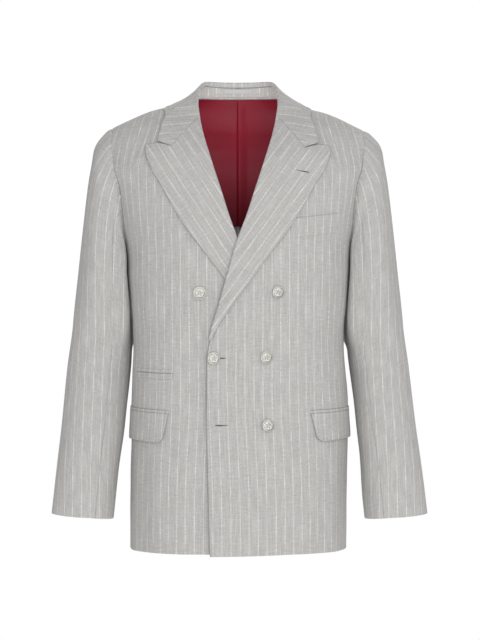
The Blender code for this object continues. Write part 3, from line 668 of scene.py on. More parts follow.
def front(side):
    """A front, from its edge and roll line round to the side seam, armhole and shoulder."""
    heights, rows_full = levels(226, HEM, NECK_TOP)
    inner = angle_of(FRONT_EDGE("x", heights), heights)
    outer = np.where(heights <= ARMPIT, np.pi / 2, armhole_angle(heights, False))
    outer = outer - HAIR / 2 / BODY("half_width", heights)
    width = arc(outer, heights) - arc(inner, heights)
    shares, full = spaced(112, 0.0008 / width[:, 0])
    angle = inner + (outer - inner) * shares
    out = 0.0
    low = smooth_step((HEM + 0.10 - heights) / 0.10)
    if side == "left":
        heights = heights - HEM_DIP * low * smooth_step(1 - width * shares / HEM_DIP_RUN)
    if side == "right":
        angle = -angle
        out = -sink(body(angle, heights)[..., 0], heights)
    lined = (shares[:-1, :-1] > FACING_SHARE) & (heights[:-1, :1] > HEM + HEM_FACING)
    return body_cloth(
        f"front_{side}", angle, heights, out, CLOTH, rows_full * full,
        front_cloth(side, angle, heights), edges=("first",), lined=lined,
        materials=("suiting", "lining"),
    )


def back(side):
    """A back, from the middle seam round to the side seam, armhole and shoulder."""
    heights, rows_full = levels(214, HEM, NECK_TOP)
    outer = np.where(heights <= ARMPIT, np.pi / 2, armhole_angle(heights, True))
    gap, seam = HAIR / 2 / BODY("half_width", heights), angle_of(HAIR / 2, heights)
    width = arc(np.full_like(outer, np.pi), heights) - arc(outer, heights)
    shares, full = spaced(96, 0.0007 / width[:, 0])
    angle = np.pi - seam - (np.pi - outer - seam - gap) * shares
    own = arc(np.pi, heights) - arc(angle, heights)
    over = smooth_step((heights + 0.125) / 0.105)
    u = own + SHOULDER_TURN * over - BACK_STRIPE_AT
    uv = joined(u, np.interp(heights, ARC_HEIGHTS, UPS))
    angle = angle if side == "left" else -angle
    return body_cloth(f"back_{side}", angle, heights, 0.0, CLOTH, rows_full * full, uv)


def turned_fold(roll, along, across, away, radius, start, steps=13):
    """Half a turn about the roll line: up by (1 - cos a) r and away by sin a r, a from 0 to pi."""
    past = unit(np.cross(across, along))
    past = past * np.where(np.sum(past * away, axis=-1) < 0, -1, 1)[:, None]
    turns = np.linspace(0, np.pi, steps)[None, :, None]
    radius, start = np.broadcast_to(radius, len(roll)), np.broadcast_to(start, len(roll))
    up, side = across[:, None], past[:, None]
    points = roll[:, None] + (1 - np.cos(turns)) * up * radius[:, None, None]
    points = points + (start[:, None, None] + np.sin(turns) * radius[:, None, None]) * side
    return points, np.sin(turns) * side - np.cos(turns) * up, past


def fold_full(steps=13):
    """The wall's fullness round a fold that begins at a sewn edge."""
    full = np.ones(steps)
    full[:3] = 0.0, 0.6, 0.9
    return full


def dip_shape(share, at, power):
    """share / at up to at, and ((1 - share) / (1 - at)) ** power beyond it."""
    beyond = np.clip((1 - share) / (1 - at), 0, 1) ** power
    return np.where(share < at, share / at, beyond)


def lapel(side):
    """A peak lapel: rows run from the roll line to the outer edge, dipping to the notch."""
    shares, rows_full = spaced(168, 0.0012)
    row = 10 * shares[0]
    roll_height = LAPEL("roll_height", row)
    roll_x = FRONT_EDGE("x", roll_height)
    shift = -HAIR / 2 * smooth_step((row - 8) / 2)
    edge_x, edge_height = LAPEL("edge_x", row), LAPEL("edge_height", row)
    width = np.hypot(edge_x - roll_x, edge_height - roll_height)
    share, full = spaced(64, np.minimum(0.0012 / width, 0.25), first=False)
    share, full = share[:, 1:], full[1:]
    x = roll_x[:, None] + (edge_x - roll_x)[:, None] * share
    z = (roll_height + shift)[:, None] + (edge_height - roll_height)[:, None] * share
    z = z - LAPEL("dip", row)[:, None] * dip_shape(share, LAPEL_DIP_AT, 1.5)
    angle = angle_of(x, z)
    belly = LAPEL_BELLY * np.sin(np.pi * share) * smooth_step(row / 4)[:, None]
    roll_angle = angle_of(roll_x, roll_height + shift)
    away = np.array([-1.0, 0.0, 0.0])
    low = 1 - 0.42 * (1 - smooth_step(row / 1.6))
    if side == "left":
        lift, roll_lift = TURN_OUT * low[:, None] + belly, TURN_OUT * low
        below, roll_below = 0.0, 0.0
    else:
        away = -away
        angle, roll_angle = -angle, -roll_angle
        hide = covered(-x, z)
        lift = (TURN_OUT * low[:, None] + belly) * (1 - hide) + TURN_COVERED * hide
        roll_hide = covered(-roll_x, roll_height)
        roll_lift = TURN_OUT * low * (1 - roll_hide) + TURN_COVERED * roll_hide
        below, roll_below = -sink(-x, z), -sink(-roll_x, roll_height)
    sheet = lay(angle, z, below + lift)
    roll = lay(roll_angle, roll_height + shift, roll_below)
    across = body_out(roll_angle, roll_height + shift)
    tangent = np.gradient(roll, axis=0)
    fold, fold_out, _ = turned_fold(roll, tangent, across, away, roll_lift / 2, 2 * HAIR)
    grid = np.concatenate([fold, sheet], axis=1)
    out = np.concatenate([fold_out, body_out(angle, z)], axis=1)
    lean = LAPEL_LEAN[side]
    own = grid[..., 0] if side == "left" else -grid[..., 0]
    u = own * np.cos(lean) - grid[..., 2] * np.sin(lean) - LAPEL_STRIPE_AT[side]
    v = own * np.sin(lean) + grid[..., 2] * np.cos(lean)
    full = rows_full[:, None] * np.concatenate([fold_full(), full])
    return cloth(
        f"lapel_{side}", grid, out, TURNED, full, joined(u, v),
        edges=("last", "high"), sewn=0.56,
    )


def curve(points, where):
    """Points at the shares where of the length along a smooth curve through the points."""
    points = np.array(points)
    length = np.linalg.norm(np.diff(points, axis=0), axis=1)
    along = np.concatenate([[0], np.cumsum(length)]) / length.sum()
    return np.stack([hermite(along, points[:, k], where) for k in range(3)], axis=1)


def collar_roll(along):
    """The collar's roll line on the wearer's left: up the front edge, then round the neck."""
    heights = np.linspace(GORGE + HAIR / 2, NECK_TOP - 0.002, 4)
    on_front = lay(angle_of(FRONT_EDGE("x", heights), heights), heights)
    return curve(np.concatenate([on_front, COLLAR_ROLL_BACK]), along)


def collar_half():
    """Half the collar: grid, out directions, fullness and cloth map, then its roll line.

    The last three are the top of the stand, the shares along the roll line and the lengths.
    Near the gorge its rows are straight as seen from the front, beyond it they follow the
    body, and behind the neck each is a hollow chord from the roll line to the edge.
    """
    along_shares, rows_full = spaced(150, 0.0018, last=False)
    along = along_shares[0]
    roll = collar_roll(along)
    edge_angle, edge_height = COLLAR("edge_angle", along), COLLAR("edge_height", along)
    close = COLLAR_CLOSE * smooth_step((along - 0.22) / 0.12)
    edge = lay(edge_angle, edge_height, TURN_OUT + COLLAR_LIFT - close)
    tangent = np.gradient(roll, axis=0)
    tangent[-1] = (-1.0, 0.0, 0.0)
    fall = unit(edge - roll)
    across = unit(np.cross(fall, tangent))
    across = across * np.where(np.sum(across * (edge * (1, 1, 0)), axis=1) < 0, -1, 1)[:, None]
    leave, left = COLLAR_ON_FRONT
    on_front = 1 - smooth_step((along - leave) / (left - leave))
    roll_height = np.minimum(roll[:, 2], NECK_TOP)
    roll_angle = angle_of(roll[:, 0], roll_height)
    body_across = body_out(roll_angle, roll_height)
    across = unit(across * (1 - on_front)[:, None] + body_across * on_front[:, None])
    start = HAIR + TAB_LEAST
    fold, fold_out, past = turned_fold(roll, tangent, across, -fall, TURN_OUT / 2, start)
    tab = roll + past * (HAIR - COLLAR("inside", along))[:, None]
    top = fold[:, -1]
    share, full = spaced(44, 0.026, first=False)
    share, full = share[:, 1:], full[1:]
    hollow = COLLAR("hollow", along)[:, None] * 4 * share * (1 - share)
    part = share[..., None]
    chord = top[:, None] * (1 - part) + edge[:, None] * part
    chord = chord - across[:, None] * hollow[..., None]
    x = roll[:, :1] + (edge[:, :1] - roll[:, :1]) * share
    z = roll_height[:, None] + (edge_height - roll_height)[:, None] * share
    reach = np.clip(1 - along / COLLAR_DIP_REACH, 0, 1)[:, None] ** 1.5
    dip = COLLAR_DIP * reach * dip_shape(share, COLLAR_DIP_AT, 1.0)
    seen = angle_of(x, z - dip)
    round_it = roll_angle[:, None] + (edge_angle - roll_angle)[:, None] * share
    ahead = 1 - smooth_step((along - 0.10) / 0.15)[:, None]
    flat_angle = seen * ahead + round_it * (1 - ahead)
    flat = lay(flat_angle, z - dip, TURN_OUT + COLLAR_BELLY * np.sin(np.pi * share))
    here = on_front[:, None, None]
    sheet = chord * (1 - here) + flat * here
    tab_rows = tab[:, None] + (fold[:, :1] - tab[:, None]) * np.array([0, 0.35, 0.7])[:, None]
    grid = np.concatenate([tab_rows, fold, sheet], axis=1)
    out = grid_out(grid)
    out = out * np.where(np.sum(out[:, -6] * across, axis=-1) < 0, -1, 1)[:, None, None]
    count = fold.shape[1]
    out[:, 3 : 3 + count] = fold_out
    out[:, :3] = fold_out[:, :1]
    full = rows_full[:, None] * np.concatenate([[0.0, 0.8, 1.0], np.ones(count), full])
    length = run(roll[:, None], 0)[:, 0]
    slant = grid[..., 0] * np.sin(COLLAR_FALLS) + grid[..., 2] * np.cos(COLLAR_FALLS)
    join = np.argmin(np.abs(along - 0.3))
    shift = slant[join, 8] - length[join]
    behind = smooth_step((along - 0.24) / 0.14)[:, None]
    last = length[-1] + shift
    match = STRIPES * (np.floor(last / STRIPES) + 0.5) - last
    length = length + shift + match * smooth_step((along - 0.35) / 0.6)
    u = slant * (1 - behind) + length[:, None] * behind
    uv = joined(u, run(grid, 1))
    return grid, out, full, uv, tab - past * 1.2 * HAIR, along, length


def collar():
    """The collar: its fall turned down all round the neck, and its stand inside."""
    half, out, full, uv, top, along, length = collar_half()

    def both(grid, mirror):
        return np.concatenate([grid, mirror(grid[-2::-1])])

    cloth(
        "collar_fall", both(half, mirrored), both(out, mirrored), TURNED,
        both(full, lambda g: g), both(uv, lambda g: g), edges=("low", "high"), sewn=0.74,
    )
    begin = np.argmin(np.abs(along - STAND_FIRST_SHARE))
    top, way = top[begin:], along[begin:]
    share = (way - way[0]) / (way[-1] - way[0])
    first = angle_of(STAND_FIRST_X, NECK_TOP)
    angles = np.interp(share, [0, STAND_SIDE_SHARE, 1], [first, np.pi / 2, np.pi])
    neck = body(angles, NECK_TOP)
    climb = unit(neck - body(angles, NECK_TOP - 0.003))
    foot = neck + climb * 4 * HAIR
    part, full = spaced(24, 0.010)
    part = part[0][None, :, None]
    stand = foot[:, None] * (1 - part) + top[:, None] * part
    hollow = 0.0006 * np.sin(np.pi * part)
    stand = both(stand * (1 - hollow * [1, 1, 0] / 0.08), mirrored)
    out = grid_out(stand)
    ends = np.ones(len(top))
    ends[:3] = 0.0, 0.5, 0.85
    ends = both(ends[:, None], lambda g: g)
    uv = np.stack([length[-1] - np.abs(stand[..., 0]), run(stand, 1)], axis=-1)
    return cloth("collar_stand", stand, out, CLOTH, ends * full, uv)


def sleeve_ring(turn, level):
    """x = X + w C, y = Y - d S, z = level + slant cos a, with X, Y, w, d by level.

    C is sgn(cos a)|cos a|^p and S is sgn(sin a)|sin a|^p, with p a little below 1.
    """
    s, c = np.sin(turn), np.cos(turn)
    x = ARM("x", level) + ARM("half_width", level) * signed_power(c, SLEEVE_POWER)
    y = ARM("y", level) - ARM("half_depth", level) * signed_power(s, SLEEVE_POWER)
    return joined(x, y, level + CUFF_SLANT * c)


def sleeve_cap(turn, t):
    """A cubic from the armhole's ring (t = 0), leaving outwards, into the arm's top ring (1)."""
    middle, half = (ARMPIT + SHOULDER_TIP) / 2, (SHOULDER_TIP - ARMPIT) / 2
    s, c = np.sin(turn), np.cos(turn)
    height = middle + half * c
    reach = np.where(s > 0, ARMHOLE_FRONT * s, -ARMHOLE_BACK * s)
    depth = np.where(s > 0, BODY("front", height), BODY("back", height))
    lean = np.arcsin(np.clip(reach / depth, 0, 1) ** (BODY("square", height) / 2))
    armhole = body(np.where(s > 0, np.pi / 2 - lean, np.pi / 2 + lean), height)
    inner = (1 - c) / 2
    out, forward, up = SLEEVE_LEAVE
    leave = [out * (1 - SLEEVE_LEAVE_LESS * inner**2), forward * s, up * inner]
    leave = np.stack(leave, axis=-1)
    armhole = armhole + unit(leave) * SLEEVE_START
    top, step = np.full_like(turn, ARM_TOP), 0.004
    first = sleeve_ring(turn, top)
    slope = (first - sleeve_ring(turn, top - step)) / step
    arrive = slope * (SLEEVE_ARRIVE * (first[..., 2] - armhole[..., 2]))[..., None]
    t = t[..., None]
    return (
        armhole * (1 + 2 * t) * (1 - t) ** 2
        + first * t**2 * (3 - 2 * t)
        + leave * t * (1 - t) ** 2
        - arrive * t**2 * (1 - t)
    )


def sleeve_folds(turn, z):
    """Long soft waves down a sleeve, and slanting creases inside the elbow."""
    waves = 0.0007 * np.sin(2.6 * turn + 17 * z + 0.8) + 0.0005 * np.sin(4.3 * turn - 29 * z)
    bend = bell(z, -0.405, 0.050) * bell(turn, 1.75, 0.75)
    high = bell(z, -0.215, 0.040) * bell(turn, 1.9, 0.6)
    crease = np.sin(2 * np.pi * (z / 0.043 + 0.33 * turn)) * bend
    drag = np.sin(2 * np.pi * (z / 0.060 - 0.55 * turn)) * high
    return waves * smooth_step((-0.10 - z) / 0.10) + 0.0013 * crease + 0.0010 * drag


def sleeve_arcs():
    """Lengths round the sleeve at each height from its outer line, by turn and height.

    The sleeve is cut level: where a column of points passes each height is read between its
    points, and the steps from column to column are added up from turn 0 both ways.
    """
    turn = np.linspace(-np.pi, np.pi, 241)[:, None]
    t = np.linspace(0, 1, 90)[None, :]
    level = np.linspace(ARM_TOP, CUFF, 70)[None, 1:]
    cap = sleeve_cap(turn + 0 * t, t + 0 * turn)
    arm = sleeve_ring(turn + 0 * level, level + 0 * turn)
    column = np.concatenate([cap, arm], axis=1)
    height = np.linspace(CUFF - 0.01, SHOULDER_TIP + 0.002, 260)
    cut = [[np.interp(height, c[::-1, 2], c[::-1, k]) for k in (0, 1)] for c in column]
    step = np.linalg.norm(np.diff(np.array(cut), axis=0), axis=1)
    length = np.concatenate([0 * step[:1], np.cumsum(step, axis=0)])
    return turn[:, 0], height, length - length[120]


def sleeve_across(turns, heights):
    """The length round the sleeve from its outer line, read from the table of arcs."""
    turn, height, length = SLEEVE_ARCS
    turns = np.where(turns > np.pi, turns - 2 * np.pi, turns)
    row = (turns - turn[0]) / (turn[1] - turn[0])
    column = (heights - height[0]) / (height[1] - height[0])
    return between(length, row, column)


SLEEVE_ARCS = sleeve_arcs()


def sleeve(side):
    """A two-piece sleeve: the top sleeve outside and the under sleeve against the body.

    Each column of points runs down the cap and on down the arm at one turn round it.
    """
    (front_seam, back_seam), gap = SLEEVE_SEAMS, SLEEVE_SEAM_GAP
    ways = {
        "top": (back_seam - 2 * np.pi + gap, front_seam - gap, 92),
        "under": (front_seam + gap, back_seam - gap, 66),
    }
    cap_shares, cap_full = spaced(64, 0.0026, last=False)
    low_shares, low_full = spaced(112, 0.0028, first=False)
    level = ARM_TOP + (CUFF - ARM_TOP) * low_shares[0, 1:]
    for piece, (begin, end, count) in ways.items():
        turn_shares, full = spaced(count, 0.0035)
        turn = begin + (end - begin) * turn_shares
        cap = sleeve_cap(turn + 0 * cap_shares.T, cap_shares.T + 0 * turn)
        arm = sleeve_ring(turn + 0 * level[:, None], level[:, None] + 0 * turn)
        grid = np.concatenate([cap, arm])
        turns = np.broadcast_to(turn, grid.shape[:2])
        out = grid_out(grid)
        centre = [ARM("x", -0.5), ARM("y", -0.5), -0.5]
        if np.sum(out[-60, count // 2] * (grid[-60, count // 2] - centre)) < 0:
            out = -out
        way = run(grid, 0)
        u = sleeve_across(turns, grid[..., 2])
        high = np.clip(np.cos(turns), 0, 1) ** 0.7
        head = -SLEEVE_DROP * high * bell(way, 0.016, 0.012)
        head = head + SLEEVE_FILL * high * bell(way, 0.042, 0.018)
        facing = bell(turns, 2.1, 0.70)
        head = head + SLEEVE_ROLL * facing * bell(way, 0.010, 0.008)
        head = head - SLEEVE_VALLEY * facing * bell(way, 0.0, 0.004)
        near = smooth_step(way / 0.02)
        push = head + sleeve_folds(turns, grid[..., 2]) * near
        push = push + side_bulge(turns, grid[..., 2]) * near
        if side == "left":
            push = push - slimmer(turns, grid[..., 2])
        grid = grid + out * push[..., None]
        v = -grid[..., 2] + 0.35 * way
        uv = joined(u - SLEEVE_STRIPE_AT, v)
        rows_full = np.concatenate([cap_full, low_full[1:]])[:, None]
        lined = (grid[:-1, :, 2].mean(axis=1) > CUFF + CUFF_FACING)[:, None]
        if side == "right":
            grid, out = mirrored(grid), mirrored(out)
        cloth(
            f"sleeve_{piece}_{side}", grid, out, CLOTH, rows_full * full, uv,
            lined=lined, materials=("suiting", "lining"),
        )


def side_bulge(turn, z):
    """How far a sleeve swells where it lies soft against the body, a hand below the armpit."""
    behind = smooth_step((z + 0.400) / 0.030) * smooth_step((-0.215 - z) / 0.035)
    before = smooth_step((z + 0.425) / 0.110) * smooth_step((-0.190 - z) / 0.060)
    return (
        SLEEVE_NEAR * behind * bell(turn, 3.58, 0.30)
        + SLEEVE_FRONT * before * bell(turn, 2.36, 0.30)
    )


def slimmer(turn, z):
    """How much slimmer the left sleeve is than the right one on its inner side."""
    low = smooth_step((z + 0.640) / 0.090) * smooth_step((-0.360 - z) / 0.040)
    return SLEEVE_SLIMMER * low * bell(turn, 3.14, 0.80)


def lining():
    """The half lining across the upper back, with a pleat that drops at the middle."""
    heights, rows_full = levels(120, LINING_HEM, NECK_TOP - LINING_TOP_GAP)
    edge = armhole_angle(heights, True)
    shares, full = spaced(230, 0.001)
    share = LINING_SHARE * np.sinh(3 * (1 - 2 * shares)) / np.sinh(3)
    angle = np.pi - (np.pi - edge) * share
    across = body(angle, heights)[..., 0]
    rise = smooth_step(1 - across / PLEAT_RUN) * smooth_step(1 + across / PLEAT_DROP)
    rise = rise * (0.3 + 0.7 * smooth_step((NECK_TOP - heights) / 0.012))
    soft = 0.0005 * np.sin(2 * np.pi * (across / 0.055 + 3.1 * heights))
    soft = soft * smooth_step(-heights / 0.05)
    down = -(CLOTH / 2 + LAYER + LINING / 2) - PLEAT_RISE * rise + soft * 0.6
    uv = joined(across, np.interp(heights, ARC_HEIGHTS, UPS))
    return body_cloth(
        "back_lining", angle, heights, down, LINING, rows_full * full, uv,
        edges=("low",), materials=("lining",),
    )


def patch(
    name, side, inner_x, outer, top, deep, slant=0.0, corner=0.0, lift=0.0, gap=PATCH_GAP,
    edges=("low",),
):
    """A pocket piece on a front, from inner_x round to an angle, deep below its top line.

    slant moves the lower inner corner outwards, corner rounds it along a quarter circle, gap
    is how far its upper edge stands off the front and lift how much further the lower one does.
    """
    share, full = spaced(56, 0.008)
    down, rows_full = spaced(max(10, int(deep / 0.0009)), 0.0007 / deep)
    down, rows_full = down[0][:, None], rows_full[:, None]
    line = top[0] + (top[1] - top[0]) * share
    height = line - deep * down
    inner = inner_x + slant * down
    if corner:
        left = np.clip((corner - deep * (1 - down)) / corner, 0, 1)
        inner = inner + corner * (1 - np.sqrt(1 - np.minimum(left, 0.985) ** 2))
    start = angle_of(inner, height)
    angle = start + (outer - start) * share
    angle = angle if side == "left" else -angle
    below = 0.0
    if side == "right":
        below = -sink(body(angle, height)[..., 0], height)
    out = below + CLOTH / 2 + gap + TRIM / 2 + lift * smooth_step(down)
    return body_cloth(
        name, angle, height, out, TRIM, rows_full * full, front_cloth(side, angle, height),
        edges=edges,
    )


def pockets():
    """Breast welt, two flaps under their jets, and a jetted ticket pocket."""
    outer = angle_of(WELT["outer_x"], WELT["top"][1])
    patch(
        "breast_welt", "left", WELT["inner_x"], outer, WELT["top"], WELT["deep"], lift=-0.0007,
        gap=0.0009, edges=(),
    )
    for side, inner_x in FLAPS.items():
        top = (FLAP_TOP, FLAP_TOP + FLAP_RISE)
        patch(
            f"flap_{side}", side, inner_x, FLAP_OUTER_ANGLE, top, FLAP_DEEP[side],
            slant=FLAP_SLANT, corner=FLAP_CORNER, lift=FLAP_LIFT, gap=FLAP_GAP,
            edges=("first", "high"),
        )
        top = tuple(height + SEAM + JET_DEEP for height in top)
        patch(f"jet_{side}", side, inner_x - 0.001, FLAP_OUTER_ANGLE, top, JET_DEEP)
    outer = angle_of(TICKET["outer_x"], TICKET["top"][1])
    top = tuple(height - JET_DEEP - 0.0008 for height in TICKET["top"])
    patch("ticket_jet_upper", "right", TICKET["inner_x"], outer, TICKET["top"], JET_DEEP, edges=())
    patch("ticket_jet_lower", "right", TICKET["inner_x"], outer, top, TICKET["lower"])


def loop():
    """The hanging loop: a flat tape across the inside of the collar stand, a little slack."""
    _, _, _, _, top, _, _ = collar_half()
    low, high = body(np.pi, NECK_TOP), top[-1]
    share, full = spaced(48, 0.02)
    part, part_full = spaced(8, 0.09)
    x = (LOOP_HALF * (2 * share - 1)).T
    z = LOOP_HEIGHTS[0] + (LOOP_HEIGHTS[1] - LOOP_HEIGHTS[0]) * part
    lean = (high[1] - low[1]) / (high[2] - low[2])
    slack = LOOP_SLACK * np.cos(np.pi * x / 2 / LOOP_HALF)
    bend = 0.9 * x**2 / (2 * BODY("back", NECK_TOP))
    y = low[1] + lean * (z - low[2]) - CLOTH / 2 - TRIM_GAP - LINING / 2 - slack - bend
    grid = joined(x, y, z)
    uv = joined(z, x)
    return cloth(
        "hanger_loop", grid, grid_out(grid), LINING, full[:, None] * part_full, uv,
        edges=("low", "high"), materials=("tape",),
    )


def button(name, props):
    """A turned button: its profile, with petals and a roped rim pressed into the face.

    The face's height is its profile plus cos(2.5 b + 1.2 r)^2 for five petals round the middle,
    sin(2.5 b + 1.2 r)^4 for leaves between them, cos(20 b + 6 r) for veins and cos(36 b + 60 r)
    for the rope on the rim, where b is the turn and r the distance from the middle.
    """
    x, height, side = BUTTONS[name]
    radius, tall, foot = props.radius, props.height, 0.0016
    angle = angle_of(x, height)
    below = -float(sink(x, height)) if side == "right" else 0.0
    centre = lay(angle, height, below + CLOTH / 2 + BUTTON_OFF) - BUTTON_TILT * tall
    axis = unit(body_out(angle, height) + BUTTON_TILT)
    side_way = unit(np.cross(axis, (0.0, 0.0, 1.0)))
    up_way = np.cross(side_way, axis)
    turn = np.linspace(0, 2 * np.pi, 144, endpoint=False)[None, :]
    rise = tall - foot
    outline = np.array(
        [
            (POLE / 3 / radius, 0.0), (0.24, 0.0), (0.24, 0.5 * foot), (0.24, foot), (0.60, foot),
            (0.92, foot), (0.975, foot + 0.10 * rise), (1.0, foot + 0.28 * rise),
            (0.99, foot + 0.46 * rise), (0.95, foot + 0.60 * rise),
        ]
    )
    face = np.linspace(0.93, POLE / 3 / radius, 72)[:, None]
    rim = bell(face, 0.87, 0.045)
    channel = bell(face, 0.76, 0.040)
    dome = 0.34 + 0.46 * np.sqrt(np.clip(1 - (face / 1.04) ** 2, 0, 1))
    petal_zone = smooth_step((face - 0.14) / 0.10) * smooth_step((0.74 - face) / 0.12)
    petals = np.cos(2.5 * turn + 1.2 * face) ** 2 * petal_zone
    leaves = np.sin(2.5 * turn + 1.2 * face) ** 4 * smooth_step((face - 0.40) / 0.12)
    leaves = leaves * smooth_step((0.80 - face) / 0.10)
    veins = np.cos(20 * turn + 6 * face) * petal_zone * smooth_step((face - 0.3) / 0.2)
    heart = np.exp(-((face / 0.12) ** 4))
    rope = np.cos(36 * turn + 60 * face) * rim
    relief_up = (
        0.03 * rim - 0.03 * channel + 0.10 * heart
        + props.relief * (0.20 * petals + 0.18 * leaves + 0.05 * veins + 0.04 * rope)
    )
    # The relief's sunk parts are darker as patina and the rim is rubbed brighter; the cosine term
    # is painted light, brighter on one side of the face and darker on the other.
    rubbed = relief_up + 0.03 + 0.05 * rim + 0.06 * face * np.cos(turn - PAINTED_LIGHT_SIDE)
    ring_r = np.concatenate([outline[:, :1] + 0 * turn, face + 0 * turn]) * radius
    top = foot + (dome + relief_up) * rise
    ring_h = np.concatenate([outline[:, 1:] + 0 * turn, top + 0 * turn])
    # Painted shade: the button's underside and the foot of its side wall take the darkest values,
    # and these lighten up the wall.
    worn = np.array([0, 0, 0, 0, 0, 0, 0.0, 0.06, 0.14, 0.18])[:, None]
    hollows = np.concatenate([worn + 0 * turn, rubbed + 0 * turn])
    spoke = np.cos(turn)[..., None] * side_way + np.sin(turn)[..., None] * up_way
    points = centre + spoke * ring_r[..., None] + axis * ring_h[..., None]
    faces = quads(closed(np.arange(ring_r.size).reshape(ring_r.shape)))
    made = turned_mesh(f"{name}_metal", points.reshape(-1, 3), faces, hollows.ravel(), "button")
    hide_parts(name)


def turned_mesh(name, points, faces, hollows, material):
    """A turned mesh with its poles merged, and as an attribute the depth of its relief with
    painted light and painted shade added in.
    """
    uv = points[:, [0, 2]]
    made = make(name, points, faces, {"cloth": uv}, [finish(material)])
    mesh = made.data
    layer = mesh.attributes.new("relief", "FLOAT", "POINT")
    layer.data.foreach_set("value", hollows.astype(np.float32))
    work = bmesh.new()
    work.from_mesh(mesh)
    bmesh.ops.remove_doubles(work, verts=work.verts, dist=POLE)
    bmesh.ops.recalc_face_normals(work, faces=work.faces)
    work.to_mesh(mesh)
    work.free()
    return made


def tube_ring(name, path, out, radius, stitches, material):
    """A closed tube along a path: r (1 + 0.3 cos(stitches a)) round it, as wound thread."""
    count, sides = len(path), 10
    along = unit(np.roll(path, -1, axis=0) - np.roll(path, 1, axis=0))
    side = unit(np.cross(along, out))
    turn = np.linspace(0, 2 * np.pi, sides, endpoint=False)[None, :, None]
    way = np.linspace(0, 2 * np.pi, count, endpoint=False)
    thick = radius * (1 + 0.30 * np.cos(stitches * way))[:, None, None]
    spoke = np.cos(turn) * side[:, None] + 0.75 * np.sin(turn) * out[:, None]
    points = path[:, None] + thick * spoke
    faces = quads(closed(closed(np.arange(count * sides).reshape(count, sides)).T).T)
    uv = joined(way[:, None] * 0.005, turn[0, :, 0][None] * radius)
    uvs = {"cloth": uv.reshape(-1, 2)}
    return make(name, points.reshape(-1, 3), faces, uvs, [finish(material)])


def buttonhole(name):
    """A worked buttonhole: a ring of wound thread round a slit whose dark colour is painted shade,
    on a front or lapel.
    """
    x, height, half, gap, lean, wide_end, on_lapel = BUTTONHOLES[name]
    lift = (TURN_OUT + LAPEL_BELLY * 0.9 + TURNED / 2) if on_lapel else CLOTH / 2
    way = np.linspace(0, 2 * np.pi, 220, endpoint=False)
    flat_x = half * signed_power(np.cos(way), 0.55)
    flat_z = (gap + 0.0005) * signed_power(np.sin(way), 0.8)

    def place(a, b, out):
        px = x + a * np.cos(lean) - b * np.sin(lean)
        pz = height + a * np.sin(lean) + b * np.cos(lean)
        return lay(angle_of(px, pz), pz, out + 0 * px)

    path = place(flat_x, flat_z, lift + 0.0002)
    out = np.broadcast_to(body_out(angle_of(x, height), height), path.shape)
    ring = tube_ring(f"{name}_thread", path, out, 0.00042, 46, "thread")
    rows, columns = 5, 41
    a = np.linspace(-1, 1, columns)[None, :] * (half - 0.0002)
    opened = 0.30 + 0.70 * smooth_step((wide_end * a / half + 0.7) / 1.2)
    rounded = np.sqrt(1 - (a / half) ** 2 * 0.9)
    b = np.linspace(-1, 1, rows)[:, None] * (gap + 0.0002) * rounded * opened
    a = a + 0 * b
    middle = place(a, b, lift + 0.00012)
    across = np.broadcast_to(out[0], middle.shape)
    top, low = middle + across * 0.00006, middle - across * 0.00006
    inside, faces = two_sides(rows, columns)
    points = np.concatenate([top.reshape(-1, 3), low[inside]])
    flat = joined(a, b)
    uv = np.concatenate([flat.reshape(-1, 2), flat[inside]])
    # The slit is a thin sheet whose dark colour is painted shade of the buttonhole's opening.
    slit = make(f"{name}_slit", points, faces, {"cloth": uv}, [finish("slit")])


